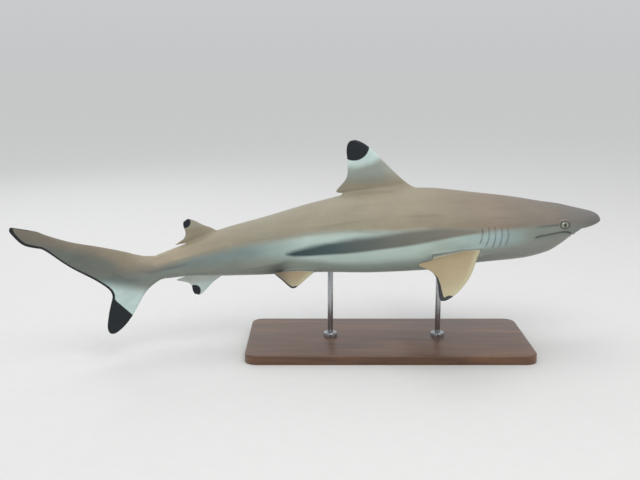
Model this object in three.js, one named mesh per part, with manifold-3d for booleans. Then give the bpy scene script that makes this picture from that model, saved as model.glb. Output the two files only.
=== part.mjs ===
// Blacktip reef shark, a female of 1.30 m, as a still display model on a base with two rods.
// Millimetres. +X runs towards the snout, +Y to the shark's left and +Z up.
// The origin is the middle of the base's underside.
//
// The body is lofted on a bent axis. A station on the axis is given in percent of the total
// length, back from the snout tip, and so is every height above or below the axis.
import * as THREE from "three";
import { mergeVertices } from "three/addons/utils/BufferGeometryUtils.js";
import Module from "manifold-3d";

const wasm = await Module();
wasm.setup();

// ---------------------------------------------------------------- driving dimensions
const TOTAL_LENGTH = 1300; // snout tip to the tip of the tail's upper lobe, stretched out
const PERCENT = TOTAL_LENGTH / 100;
const JOIN_GAP = 0.3; // clear space between two nodes that meet
const EDGE_THICKNESS = 1.4; // rear edge of every fin

// How the animal is bent, in degrees. The head turns to the left, the tail swings to the right.
const POSE = {
  headYaw: 9,
  headYawEnds: 31,
  tailYaw: 40,
  tailYawStarts: 43,
  tailYawEnds: 98,
  bodyPitch: 4,
  tailPitch: 9.8,
  tailPitchStarts: 41,
  tailPitchEnds: 77,
};
const HELD_STATION = 46; // the station that the stand's height is set by
const HELD_POINT = new THREE.Vector3(-126, 3, 240);
const AXIS_END = 112;
const AXIS_STEPS = 448;

// Body profile: station, height of the back, depth of the belly and half width.
const BODY_STATIONS = [
  [0, 0, 0, 0],
  [1, 1.26, 0.42, 2.2],
  [2.5, 1.8, 0.78, 3.3],
  [4.5, 2.42, 1.1, 4.12],
  [7, 3.2, 2.7, 4.7],
  [10.5, 4.0, 4.6, 5.3],
  [15, 5.1, 5.25, 5.82],
  [21, 6.25, 5.35, 6.13],
  [31, 7.8, 6.05, 6.18],
  [39, 7.95, 5.9, 5.92],
  [48, 6.65, 5.25, 5.15],
  [57, 4.95, 4.75, 4.12],
  [65, 3.95, 3.7, 3.1],
  [71, 2.75, 2.4, 2.42],
  [75.5, 2.2, 1.78, 1.85],
  [78, 2.0, 1.5, 1.4],
];
const BACK_FULLNESS = 2.0; // exponents of the section's upper and lower halves
const BELLY_FULLNESS = 2.3;
const BODY_END = 75.5;
const SECTION_SIDES = 24;

// Where thin cuts part the body into its named lengths.
const HEAD_END = 23.4;
const TRUNK_MIDDLE = 44.5;
const TAIL_START = 60.5;

// The mouth cut, seen from the right: station and height, from the chin back to the jaw hinge.
const MOUTH_LINE = [
  [5.5, -2.3],
  [5.9, -1.25],
  [6.6, -0.62],
  [8, -0.5],
  [10.3, -0.78],
  [12.8, -0.95],
  [15, -1.0],
];
const MOUTH_ARCH = 1.5; // how far the mouth's front leads its sides, at the arch width
const MOUTH_ARCH_WIDTH = 60;
const JAW_REACH = 130; // past every surface of the head

// Eyes: place, half sizes along, out of and up the head, and how much of each is sunk.
const EYE = { station: 8.1, angle: 9, along: 13, across: 10, upright: 10.5, sunk: 7.2 };
const NOSTRIL = { station: 4.3, angle: -34, along: 6, across: 4.5, upright: 3.2, sunk: 1 };
const GILLS = {
  count: 5,
  first: 17.9,
  pitch: 1.02,
  top: 27,
  bottom: -27,
  lean: -0.55,
  width: 2.4,
  depth: 4,
  proud: 3,
  steps: 4,
};

// Fins. Each rib joins a point of the leading edge to one of the trailing edge, both in
// percent of the total length, from inside the body out to the fin's tip.
const FIRST_DORSAL = {
  thickness: 17,
  ribs: [
    [[30.6, 6.6], [41.6, 6.4]],
    [[32.2, 8.25], [43.2, 7.75]],
    [[33.8, 9.75], [44.7, 8.15]],
    [[35.6, 11.7], [42.7, 10.2]],
    [[37.6, 14.0], [42.4, 12.9]],
    [[39.1, 15.55], [42.45, 14.7]],
    [[40.3, 16.3], [42.2, 15.9]],
    [[41.0, 16.5], [41.7, 16.4]],
  ],
};
const SECOND_DORSAL = {
  thickness: 7,
  ribs: [
    [[63.8, 2.6], [68.2, 1.9]],
    [[65.2, 4.45], [69.9, 3.05]],
    [[66.2, 5.1], [72.0, 3.1]],
    [[67.0, 5.65], [70.4, 3.65]],
    [[67.8, 6.3], [69.75, 4.7]],
    [[68.5, 6.75], [69.95, 5.8]],
    [[69.05, 6.95], [69.8, 6.6]],
  ],
};
const ANAL = {
  thickness: 7,
  ribs: [
    [[64.2, -2.2], [68.4, -1.4]],
    [[65.6, -3.9], [70.4, -2.45]],
    [[66.6, -4.4], [73.0, -2.65]],
    [[67.5, -5.0], [71.3, -3.45]],
    [[68.3, -5.6], [70.5, -4.2]],
    [[68.9, -6.0], [70.5, -5.1]],
    [[69.5, -6.2], [70.3, -5.8]],
  ],
};
// The tail fin's ribs fan out from its upper edge: down the lower lobe to its tip, back up to
// the fork, and on along the upper lobe to the notch and the tip.
const CAUDAL = {
  ribs: [
    [[75.5, 2.2], [75.5, -1.78]],
    [[77.2, 2.7], [78.2, -3.1]],
    [[78.6, 3.4], [81.6, -6.9]],
    [[79.8, 4.1], [84.5, -8.5]],
    [[80.6, 4.55], [85.65, -7.5]],
    [[81.6, 5.05], [84.7, -4.5]],
    [[82.8, 5.65], [83.6, -1.9]],
    [[84.6, 6.55], [85.5, 0.85]],
    [[88.3, 8.35], [89.3, 4.5]],
    [[91.7, 10.5], [92.4, 8.2]],
    [[93.0, 11.5], [93.6, 9.0]],
    [[94.9, 12.45], [95.6, 10.2]],
    [[96.8, 13.35], [97.05, 12.7]],
  ],
  core: 15, // half thickness of the fleshy core below the upper edge, where it starts
  coreDepth: 0.34, // how far down each rib the core reaches
  web: 2.6, // half thickness of the web beside the core
  rootShare: 0.22, // share of the ribs over which the body's section thins to the fin's
  forkShare: 0.5, // share of the ribs that belongs to the lower lobe, up to the fork
};
// Paired fins lie in a plane of their own, whose origin is the front of the fin's base.
const PECTORAL = {
  station: 22.1,
  angle: -24,
  toeOut: 6.3,
  incidence: 6.3,
  droop: 9.5,
  thickness: 19,
  ribs: [
    [[-1.0, -2.6], [5.4, -3.4]],
    [[0.1, 0.2], [6.9, -0.9]],
    [[0.9, 1.7], [8.9, -0.35]],
    [[1.8, 3.4], [10.55, 0.15]],
    [[3.0, 5.7], [9.35, 3.0]],
    [[4.4, 8.2], [9.2, 5.7]],
    [[6.0, 10.45], [9.75, 8.7]],
    [[7.6, 12.4], [10.4, 11.2]],
    [[9.0, 13.7], [10.85, 13.1]],
    [[10.1, 14.35], [10.9, 14.1]],
  ],
};
const PELVIC = {
  station: 48.9,
  angle: -52,
  toeOut: 2.3,
  incidence: -2.7,
  droop: 47,
  thickness: 9,
  ribs: [
    [[-0.8, -2.0], [4.0, -2.0]],
    [[0.1, 0.1], [5.3, -0.15]],
    [[0.7, 0.65], [7.1, 0.15]],
    [[1.5, 1.35], [6.2, 1.15]],
    [[2.4, 2.15], [5.35, 2.1]],
    [[3.2, 2.85], [4.7, 2.85]],
    [[3.75, 3.2], [4.25, 3.2]],
  ],
};
const CHORD_STEPS = 6;
const CAUDAL_SPAN = 280; // run of the ribs along the tail fin at the fork, in millimetres

// Stand: a bevelled wooden base, and two steel rods that enter sockets in the belly.
const BASE = { length: 620, width: 270, height: 20, corner: 26, bevel: 3 };
const ROD = { radius: 6, socket: 18, sides: 20, stations: [28, 46.5] };
const COLLAR = { radius: 15, height: 9, chamfer: 2 };

const COLOURS = {
  back: 0x94897a,
  flank: 0x9aa093,
  fin: 0xa59a7f,
  jaw: 0xb9c0b8,
  eye: 0x1c211f,
  wood: 0x5a3d28,
  steel: 0xc4c6c8,
};

// ---------------------------------------------------------------- the bent axis
const ease = (t) => {
  const c = Math.min(1, Math.max(0, t));
  return c * c * (3 - 2 * c);
};

// Unit vector towards the head at a station.
function forwardAt(station) {
  const head = 1 - ease(station / POSE.headYawEnds);
  const tail = ease(
    (station - POSE.tailYawStarts) / (POSE.tailYawEnds - POSE.tailYawStarts),
  );
  const rear = ease(
    (station - POSE.tailPitchStarts) / (POSE.tailPitchEnds - POSE.tailPitchStarts),
  );
  const yaw = THREE.MathUtils.degToRad(POSE.headYaw * head + POSE.tailYaw * tail);
  const pitch = THREE.MathUtils.degToRad(
    POSE.bodyPitch + (POSE.tailPitch - POSE.bodyPitch) * rear,
  );
  return new THREE.Vector3(
    Math.cos(yaw) * Math.cos(pitch),
    Math.sin(yaw) * Math.cos(pitch),
    Math.sin(pitch),
  );
}

// The axis as points at even stations, moved so that the held station is at its place.
const axisPoints = [];
{
  const step = AXIS_END / AXIS_STEPS;
  const point = new THREE.Vector3();
  for (let i = 0; i <= AXIS_STEPS; i += 1) {
    axisPoints.push(point.clone());
    point.addScaledVector(forwardAt((i + 0.5) * step), -step * PERCENT);
  }
}
function axisAt(station) {
  const place = (Math.max(0, station) / AXIS_END) * AXIS_STEPS;
  const i = Math.min(AXIS_STEPS - 1, Math.floor(place));
  return axisPoints[i].clone().lerp(axisPoints[i + 1], place - i);
}
const toStand = HELD_POINT.clone().sub(axisAt(HELD_STATION));

// The axis's own directions at a station: towards the head, to the left, and up.
function frameAt(station) {
  const forward = forwardAt(station);
  const left = new THREE.Vector3(-forward.y, forward.x, 0).normalize();
  const up = new THREE.Vector3().crossVectors(forward, left);
  return { origin: axisAt(station).add(toStand), forward, left, up };
}

// A point beside the axis: station and height in percent, lateral in millimetres.
function place(station, lateral, height) {
  const { origin, left, up } = frameAt(station);
  return origin.addScaledVector(left, lateral).addScaledVector(up, height * PERCENT);
}

// ---------------------------------------------------------------- the body's sections
// Monotone cubic through a column of the body profile, taken over the root of the station,
// which makes the snout round.
const rootStations = BODY_STATIONS.map(([station]) => Math.sqrt(station));
function profileSlopes(column) {
  const n = BODY_STATIONS.length;
  const rise = [];
  for (let i = 0; i < n - 1; i += 1) {
    const run = rootStations[i + 1] - rootStations[i];
    rise.push((BODY_STATIONS[i + 1][column] - BODY_STATIONS[i][column]) / run);
  }
  return rootStations.map((_, i) => {
    if (i === 0) return rise[0];
    if (i === n - 1) return rise[n - 2];
    const [before, after] = [rise[i - 1], rise[i]];
    return before * after > 0 ? (2 * before * after) / (before + after) : 0;
  });
}
const slopes = [1, 2, 3].map(profileSlopes);
function profileAt(station, column) {
  const root = Math.sqrt(Math.max(0, station));
  let i = 0;
  while (i < rootStations.length - 2 && root > rootStations[i + 1]) i += 1;
  const run = rootStations[i + 1] - rootStations[i];
  const t = (root - rootStations[i]) / run;
  const slope = slopes[column - 1];
  const from = BODY_STATIONS[i][column];
  const to = BODY_STATIONS[i + 1][column];
  return (
    from * (1 + 2 * t) * (1 - t) ** 2 +
    run * slope[i] * t * (1 - t) ** 2 +
    to * t * t * (3 - 2 * t) +
    run * slope[i + 1] * t * t * (t - 1)
  );
}

// A point of the section at an angle: 90 on the back, 0 on the left flank, -90 on the belly.
// Grow moves the surface out, in millimetres.
function sectionPoint(station, degrees, grow = 0) {
  const angle = THREE.MathUtils.degToRad(degrees);
  const [c, s] = [Math.cos(angle), Math.sin(angle)];
  const power = 2 / (s > 0 ? BACK_FULLNESS : BELLY_FULLNESS);
  const tall = profileAt(station, s > 0 ? 1 : 2) + grow / PERCENT;
  const wide = profileAt(station, 3) * PERCENT + grow;
  return {
    lateral: wide * Math.sign(c) * Math.abs(c) ** power,
    height: tall * Math.sign(s) * Math.abs(s) ** power,
  };
}
function surfacePoint(station, degrees, grow = 0) {
  const { lateral, height } = sectionPoint(station, degrees, grow);
  return place(station, lateral, height);
}

// ---------------------------------------------------------------- solids
// A closed solid from rings of points. A ring whose points all meet closes as a point.
function loft(rings) {
  const position = [];
  const index = [];
  const rows = rings.map((ring) => {
    const isPoint = ring.every((p) => p.distanceTo(ring[0]) < 1e-6);
    const unique = isPoint ? [ring[0]] : ring;
    const start = position.length / 3;
    unique.forEach((p) => position.push(p.x, p.y, p.z));
    return ring.map((_, j) => (isPoint ? start : start + j));
  });
  const face = (a, b, c) => {
    if (a !== b && b !== c && c !== a) index.push(a, b, c);
  };
  const sides = rings[0].length;
  for (let i = 0; i < rows.length - 1; i += 1) {
    for (let j = 0; j < sides; j += 1) {
      const next = (j + 1) % sides;
      face(rows[i][j], rows[i + 1][j], rows[i + 1][next]);
      face(rows[i][j], rows[i + 1][next], rows[i][next]);
    }
  }
  [
    [rings[0], rows[0], false],
    [rings[rings.length - 1], rows[rows.length - 1], true],
  ].forEach(([ring, row, last]) => {
    if (row[0] === row[1]) return;
    const centre = ring
      .reduce((sum, p) => sum.add(p), new THREE.Vector3())
      .divideScalar(sides);
    const middle = position.length / 3;
    position.push(centre.x, centre.y, centre.z);
    for (let j = 0; j < sides; j += 1) {
      const [a, b] = [row[j], row[(j + 1) % sides]];
      if (last) face(middle, b, a);
      else face(middle, a, b);
    }
  });
  const geometry = new THREE.BufferGeometry();
  geometry.setAttribute("position", new THREE.Float32BufferAttribute(position, 3));
  geometry.setIndex(index);
  return solid(geometry);
}

// A three.js geometry as a solid with its faces pointing out.
function solid(geometry) {
  const bare = new THREE.BufferGeometry();
  bare.setAttribute("position", geometry.getAttribute("position"));
  if (geometry.index) bare.setIndex(geometry.index);
  const merged = mergeVertices(bare, 1e-3);
  const triVerts = new Uint32Array(merged.index.array);
  const vertProperties = merged.getAttribute("position").array;
  const made = new wasm.Manifold(
    new wasm.Mesh({ numProp: 3, vertProperties, triVerts }),
  );
  if (made.volume() > 0) return made;
  for (let i = 0; i < triVerts.length; i += 3) {
    [triVerts[i + 1], triVerts[i + 2]] = [triVerts[i + 2], triVerts[i + 1]];
  }
  return new wasm.Manifold(new wasm.Mesh({ numProp: 3, vertProperties, triVerts }));
}

const shark = new THREE.Group();

// Adds a solid to the model as a named mesh.
function addNode(name, made, colour, roughness, metalness = 0) {
  const { vertProperties, triVerts, numProp } = made.getMesh();
  const position = new Float32Array((vertProperties.length / numProp) * 3);
  for (let i = 0; i < position.length / 3; i += 1) {
    position.set(vertProperties.subarray(i * numProp, i * numProp + 3), i * 3);
  }
  const geometry = new THREE.BufferGeometry();
  geometry.setAttribute("position", new THREE.BufferAttribute(position, 3));
  geometry.setIndex(new THREE.BufferAttribute(triVerts, 1));
  const flat = geometry.toNonIndexed();
  flat.computeVertexNormals();
  const material = new THREE.MeshStandardMaterial({ color: colour, roughness, metalness });
  const mesh = new THREE.Mesh(flat, material);
  mesh.name = name;
  shark.add(mesh);
}

// ---------------------------------------------------------------- body
// The stations of the rings in a length of the body. They crowd towards the snout.
function ringStations({ from, to, steps, crowding }) {
  const stations = [];
  for (let i = 0; i <= steps; i += 1) {
    stations.push(from + (to - from) * (i / steps) ** crowding);
  }
  return stations;
}

// The body's surface lofted over a list of stations, moved out by grow millimetres.
function bodyLoft(stations, grow = 0) {
  const rings = stations.map((station) => {
    const ring = [];
    for (let j = 0; j < SECTION_SIDES; j += 1) {
      const angle = (360 * j) / SECTION_SIDES;
      ring.push(surfacePoint(station, angle, station > 0 ? grow : 0));
    }
    return ring;
  });
  return loft(rings);
}

// An ellipsoid set into the head, its axes along, out of and up the skin there.
function setIn(spec, side, grow) {
  const { lateral, height } = sectionPoint(spec.station, spec.angle);
  const frame = frameAt(spec.station);
  const outward = frame.left
    .clone()
    .multiplyScalar(Math.cos(THREE.MathUtils.degToRad(spec.angle)) * side)
    .addScaledVector(frame.up, Math.sin(THREE.MathUtils.degToRad(spec.angle)));
  const along = frame.forward.clone();
  const upright = new THREE.Vector3().crossVectors(outward, along).multiplyScalar(side);
  const middle = place(spec.station, lateral * side, height);
  middle.addScaledVector(outward, -spec.sunk);
  const geometry = new THREE.SphereGeometry(1, 12, 8);
  geometry.applyMatrix4(
    new THREE.Matrix4()
      .makeBasis(along, upright, outward.clone())
      .scale(new THREE.Vector3(spec.along + grow, spec.upright + grow, spec.across + grow))
      .setPosition(middle),
  );
  return solid(geometry);
}

// One gill slit: a thin blade along the flank.
function gillSlit(number, side) {
  const rings = [];
  for (let i = 0; i <= GILLS.steps; i += 1) {
    const t = i / GILLS.steps;
    const angle = GILLS.bottom + (GILLS.top - GILLS.bottom) * t;
    const bow = Math.sin(Math.PI * t);
    const station =
      GILLS.first + number * GILLS.pitch + GILLS.lean * (t - 0.5) - 0.25 * bow;
    const half = (GILLS.width / 2 / PERCENT) * (0.35 + 0.65 * bow);
    const corner = (shift, grow) => {
      const { lateral, height } = sectionPoint(station + shift, angle, grow);
      return place(station + shift, lateral * side, height);
    };
    rings.push([
      corner(-half, GILLS.proud),
      corner(half, GILLS.proud),
      corner(0, -GILLS.depth * (0.3 + 0.7 * bow)),
    ]);
  }
  return loft(rings);
}

// The block that the lower jaw is taken from, below the mouth line. Grow enlarges it.
function jawBlock(grow) {
  const rings = [];
  const slices = 10;
  for (let i = 0; i <= slices; i += 1) {
    const lateral = JAW_REACH * ((2 * i) / slices - 1);
    const arch = MOUTH_ARCH * (lateral / MOUTH_ARCH_WIDTH) ** 2;
    const edge = MOUTH_LINE.map(([station, height], k) => {
      const fade = 1 - k / (MOUTH_LINE.length - 1);
      const back = k === MOUTH_LINE.length - 1 ? grow / PERCENT : 0;
      return place(
        station + arch * fade + back - (fade * grow) / PERCENT,
        lateral,
        height + grow / PERCENT,
      );
    });
    const [front] = MOUTH_LINE[0];
    const [rear] = MOUTH_LINE[MOUTH_LINE.length - 1];
    edge.push(place(rear + grow / PERCENT, lateral, -JAW_REACH / PERCENT));
    edge.push(place(front + arch - grow / PERCENT, lateral, -JAW_REACH / PERCENT));
    rings.push(edge);
  }
  return loft(rings);
}

const halfGap = JOIN_GAP / 2 / PERCENT;
const LENGTHS = [
  { from: 0, to: HEAD_END - halfGap, steps: 18, crowding: 1.7 },
  { from: HEAD_END + halfGap, to: TRUNK_MIDDLE - halfGap, steps: 8, crowding: 1 },
  { from: TRUNK_MIDDLE + halfGap, to: TAIL_START - halfGap, steps: 7, crowding: 1 },
  { from: TAIL_START + halfGap, to: BODY_END - halfGap, steps: 8, crowding: 1 },
].map(ringStations);
let [head, trunkFront, trunkRear, tailStalk] = LENGTHS.map((stations) => bodyLoft(stations));
const bodyGrown = bodyLoft(LENGTHS.flat(), JOIN_GAP);

const lowerJaw = head.intersect(jawBlock(0));
head = head.subtract(jawBlock(JOIN_GAP));
for (const side of [1, -1]) {
  head = head.subtract(setIn(EYE, side, JOIN_GAP)).subtract(setIn(NOSTRIL, side, 0));
  for (let number = 0; number < GILLS.count; number += 1) {
    head = head.subtract(gillSlit(number, side));
  }
}

// ---------------------------------------------------------------- fins
// A foil's half thickness at a share of its chord, 1 at its thickest.
const foil = (chord) => 2.6 * Math.sqrt(chord) * (1 - chord);

// Lofts ribs into a fin. Put places a point given in the fin's plane and its offset from it.
function fin(spec, put, spanSteps) {
  const leading = new THREE.SplineCurve(spec.ribs.map(([p]) => new THREE.Vector2(...p)));
  const trailing = new THREE.SplineCurve(spec.ribs.map(([, p]) => new THREE.Vector2(...p)));
  const rings = [];
  for (let i = 0; i <= spanSteps; i += 1) {
    const span = i / spanSteps;
    const front = leading.getPoint(span);
    const rear = trailing.getPoint(span);
    const slim = (1 - span) ** 1.15;
    const half = (chord) =>
      (EDGE_THICKNESS / 2) * Math.min(1, 3 * chord) +
      (spec.thickness / 2) * (0.08 + 0.92 * slim) * foil(chord);
    const ring = [put(front, 0)];
    for (const side of [1, -1]) {
      for (let j = 1; j <= CHORD_STEPS; j += 1) {
        const k = side > 0 ? j : CHORD_STEPS + 1 - j;
        const chord = (1 - Math.cos((Math.PI * k) / CHORD_STEPS)) / 2;
        ring.push(put(front.clone().lerp(rear, chord), side * half(chord)));
      }
    }
    rings.push(ring);
  }
  return loft(rings);
}

// Fins on the midline stand in the plane of the axis.
const onMidline = (point, offset) => place(point.x, offset, point.y);

// Paired fins lie in a plane hinged at the front of their base.
function onSide(spec, side) {
  const { lateral, height } = sectionPoint(spec.station, spec.angle);
  const origin = place(spec.station, lateral * side, height);
  const { forward, left, up } = frameAt(spec.station);
  const toe = Math.tan(THREE.MathUtils.degToRad(spec.toeOut));
  const pitch = Math.tan(THREE.MathUtils.degToRad(spec.incidence));
  const droop = THREE.MathUtils.degToRad(spec.droop);
  const chordwise = forward
    .clone()
    .negate()
    .addScaledVector(left, toe * side)
    .addScaledVector(up, -pitch)
    .normalize();
  const outward = left
    .clone()
    .multiplyScalar(Math.cos(droop) * side)
    .addScaledVector(up, -Math.sin(droop));
  const spanwise = outward
    .addScaledVector(chordwise, -outward.dot(chordwise))
    .normalize();
  const across = new THREE.Vector3().crossVectors(chordwise, spanwise);
  return (point, offset) =>
    origin
      .clone()
      .addScaledVector(chordwise, point.x * PERCENT)
      .addScaledVector(spanwise, point.y * PERCENT)
      .addScaledVector(across, offset);
}

// The tail fin continues the body: its first rib has the body's section, and the flesh thins
// to a core under the upper edge with a web below it. From and to are shares of its ribs.
function caudalLobe(from, to, steps) {
  const upper = new THREE.SplineCurve(CAUDAL.ribs.map(([p]) => new THREE.Vector2(...p)));
  const lower = new THREE.SplineCurve(CAUDAL.ribs.map(([, p]) => new THREE.Vector2(...p)));
  const [back, belly] = [profileAt(BODY_END, 1), profileAt(BODY_END, 2)];
  const rings = [];
  for (let i = 0; i <= steps; i += 1) {
    const along = from + (to - from) * (i / steps);
    const top = upper.getPoint(along);
    const bottom = lower.getPoint(along);
    const thinning = ease(along / CAUDAL.rootShare);
    const core = CAUDAL.core * (1 - along) ** 1.6;
    const web = CAUDAL.web * (1 - along) + EDGE_THICKNESS / 2;
    const ring = [];
    for (let j = 0; j < SECTION_SIDES; j += 1) {
      const { lateral, height } = sectionPoint(BODY_END, (360 * j) / SECTION_SIDES);
      const down = (back - height) / (back + belly);
      const blade =
        core * foil(Math.min(1, down / (2 * CAUDAL.coreDepth))) +
        web * Math.sin(Math.PI * Math.min(0.5, down * 2)) * (1 - 0.75 * down);
      const offset = THREE.MathUtils.lerp(Math.abs(lateral), blade, thinning);
      const side = Math.abs(lateral) < 1e-6 ? 0 : Math.sign(lateral);
      const point = top.clone().lerp(bottom, down);
      ring.push(place(point.x, offset * side, point.y));
    }
    rings.push(ring);
  }
  return loft(rings);
}

// ---------------------------------------------------------------- stand
function plate() {
  const [x, y] = [BASE.length / 2 - BASE.bevel, BASE.width / 2 - BASE.bevel];
  const r = BASE.corner - BASE.bevel;
  const outline = new THREE.Shape();
  outline.moveTo(-x + r, -y);
  outline.lineTo(x - r, -y);
  outline.absarc(x - r, -y + r, r, -Math.PI / 2, 0);
  outline.lineTo(x, y - r);
  outline.absarc(x - r, y - r, r, 0, Math.PI / 2);
  outline.lineTo(-x + r, y);
  outline.absarc(-x + r, y - r, r, Math.PI / 2, Math.PI);
  outline.lineTo(-x, -y + r);
  outline.absarc(-x + r, -y + r, r, Math.PI, 1.5 * Math.PI);
  const geometry = new THREE.ExtrudeGeometry(outline, {
    depth: BASE.height - 2 * BASE.bevel,
    bevelThickness: BASE.bevel,
    bevelSize: BASE.bevel,
    bevelSegments: 1,
    curveSegments: 5,
  });
  geometry.translate(0, 0, BASE.bevel);
  return solid(geometry);
}

function upright(radius, from, to, middle) {
  const geometry = new THREE.CylinderGeometry(radius, radius, to - from, ROD.sides);
  geometry.rotateX(Math.PI / 2);
  geometry.translate(middle.x, middle.y, (from + to) / 2);
  return solid(geometry);
}

function collar(middle) {
  const inner = ROD.radius + JOIN_GAP;
  const { radius, height, chamfer } = COLLAR;
  const profile = [
    [inner, 0],
    [radius, 0],
    [radius, height - chamfer],
    [radius - chamfer, height],
    [inner, height],
    [inner, 0],
  ].map(([r, z]) => new THREE.Vector2(r, z));
  const geometry = new THREE.LatheGeometry(profile, ROD.sides);
  geometry.rotateX(Math.PI / 2);
  geometry.translate(middle.x, middle.y, BASE.height + JOIN_GAP);
  return solid(geometry);
}

addNode("stand_base", plate(), COLOURS.wood, 0.45);
ROD.stations.forEach((station, number) => {
  const end = number === 0 ? "front" : "rear";
  const belly = surfacePoint(station, -90);
  const top = belly.z + ROD.socket;
  const foot = BASE.height + JOIN_GAP;
  const socket = upright(ROD.radius + JOIN_GAP, foot, top + JOIN_GAP, belly);
  if (number === 0) trunkFront = trunkFront.subtract(socket);
  else trunkRear = trunkRear.subtract(socket);
  addNode(`stand_rod_${end}`, upright(ROD.radius, foot, top, belly), COLOURS.steel, 0.3, 1);
  addNode(`stand_collar_${end}`, collar(belly), COLOURS.steel, 0.3, 1);
});

// ---------------------------------------------------------------- the animal's nodes
addNode("head", head, COLOURS.back, 0.5);
addNode("lower_jaw", lowerJaw, COLOURS.jaw, 0.5);
addNode("trunk_front", trunkFront, COLOURS.back, 0.5);
addNode("trunk_rear", trunkRear, COLOURS.flank, 0.5);
addNode("tail_stalk", tailStalk, COLOURS.flank, 0.5);
const lobeGap = JOIN_GAP / 2 / CAUDAL_SPAN;
const lowerLobe = caudalLobe(0, CAUDAL.forkShare - lobeGap, 14);
const upperLobe = caudalLobe(CAUDAL.forkShare + lobeGap, 1, 12);
addNode("caudal_fin_lower_lobe", lowerLobe, COLOURS.flank, 0.5);
addNode("caudal_fin_upper_lobe", upperLobe, COLOURS.flank, 0.5);
addNode(
  "first_dorsal_fin",
  fin(FIRST_DORSAL, onMidline, 14).subtract(bodyGrown),
  COLOURS.fin,
  0.5,
);
addNode(
  "second_dorsal_fin",
  fin(SECOND_DORSAL, onMidline, 10).subtract(bodyGrown),
  COLOURS.fin,
  0.5,
);
addNode("anal_fin", fin(ANAL, onMidline, 10).subtract(bodyGrown), COLOURS.fin, 0.5);
for (const [side, name] of [
  [1, "left"],
  [-1, "right"],
]) {
  const pectoral = fin(PECTORAL, onSide(PECTORAL, side), 16).subtract(bodyGrown);
  const pelvic = fin(PELVIC, onSide(PELVIC, side), 10).subtract(bodyGrown);
  addNode(`pectoral_fin_${name}`, pectoral, COLOURS.fin, 0.5);
  addNode(`pelvic_fin_${name}`, pelvic, COLOURS.fin, 0.5);
  addNode(`eye_${name}`, setIn(EYE, side, 0), COLOURS.eye, 0.1);
}

export default shark;
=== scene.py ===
"""Looks of a blacktip reef shark, a life-size still model on a display stand.

Metres, +X towards the snout, +Y to the shark's left, +Z up, from the middle of the
stand's underside. The body is drawn on a bent axis. A station on that axis, and a height
above or below it, are percents of the total length of 1.30 m.
"""

import logging
import math
from dataclasses import dataclass, field
from enum import Enum
from typing import Callable, Optional, Sequence

import bmesh
import bpy
import numpy as np
from mathutils import Euler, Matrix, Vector


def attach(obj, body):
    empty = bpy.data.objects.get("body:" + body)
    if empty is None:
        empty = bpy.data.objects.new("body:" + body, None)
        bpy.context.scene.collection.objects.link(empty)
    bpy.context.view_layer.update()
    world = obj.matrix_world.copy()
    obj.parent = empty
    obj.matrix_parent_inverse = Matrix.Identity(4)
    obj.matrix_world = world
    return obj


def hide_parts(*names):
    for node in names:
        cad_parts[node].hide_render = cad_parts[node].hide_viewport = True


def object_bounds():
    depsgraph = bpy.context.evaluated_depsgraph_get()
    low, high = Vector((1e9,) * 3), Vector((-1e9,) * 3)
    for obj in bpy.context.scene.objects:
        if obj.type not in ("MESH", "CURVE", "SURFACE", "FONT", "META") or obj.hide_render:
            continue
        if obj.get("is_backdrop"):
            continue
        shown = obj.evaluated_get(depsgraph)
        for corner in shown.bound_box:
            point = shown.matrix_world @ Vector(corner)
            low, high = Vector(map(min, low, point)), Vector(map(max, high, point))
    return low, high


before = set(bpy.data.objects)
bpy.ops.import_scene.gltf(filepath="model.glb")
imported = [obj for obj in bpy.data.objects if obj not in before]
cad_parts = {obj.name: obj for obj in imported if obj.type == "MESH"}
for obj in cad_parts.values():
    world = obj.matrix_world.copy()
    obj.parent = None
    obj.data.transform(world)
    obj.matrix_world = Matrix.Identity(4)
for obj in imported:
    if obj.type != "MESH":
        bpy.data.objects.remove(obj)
CAD_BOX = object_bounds()

Array = np.ndarray
Path = tuple[tuple[float, float], ...]
Pair = tuple[float, float]
Fades = tuple[float, float, float, float]
Tint = tuple[int, int, int]
Ramp = tuple[tuple[float, Tint], ...]
Socket = bpy.types.NodeSocket
Piece = bpy.types.Object
MM = 0.001
TOTAL_LENGTH = 1.3
PERCENT = TOTAL_LENGTH / 100
BODY = "root"
SAMPLES = 6000  # points that the spacing of the body's rings is summed over
BELOW_ALL = -200.0  # an angle below every angle of a section
NO_MARK = -40.0  # a distance in millimetres, outside every marking
TAIL_TURN = 18.0  # degrees that stand for one percent of height on the tail fin

log = logging.getLogger("shark")


class Side(Enum):
    """A side of the animal, with its sign along +Y."""

    LEFT = 1
    RIGHT = -1


class Pick(Enum):
    """What a selection in edit mode is made of."""

    VERTEX = "VERT"
    EDGE = "EDGE"
    FACE = "FACE"


def ease(share: Array) -> Array:
    """Smooth step from 0 to 1, flat at both ends."""
    c = np.clip(share, 0, 1)
    return c * c * (3 - 2 * c)


def rise(value: Array, low: float, high: float) -> Array:
    """Smooth step of a value from 0 at low to 1 at high."""
    return ease((value - low) / (high - low))


def fall(value: Array, low: float, high: float) -> Array:
    """Smooth step of a value from 1 at low to 0 at high."""
    return rise(-value, -high, -low)


def between(value: Array, fades: Fades) -> Array:
    """Smooth window of a value, which opens over the first two fades and closes after."""
    return rise(value, *fades[:2]) * fall(value, *fades[2:])


def within(value: Array, low: float, high: float) -> Array:
    """Whether each value lies between two limits."""
    return (value > low) & (value < high)


def bell(value: Array, width: float) -> Array:
    """Bell curve round zero, 1 at its top."""
    return np.exp(-((value / width) ** 2))


def table(value: Array, points: Path) -> Array:
    """Straight lines through a short list of (place, value) points."""
    return np.interp(value, [p[0] for p in points], [p[1] for p in points])


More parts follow.
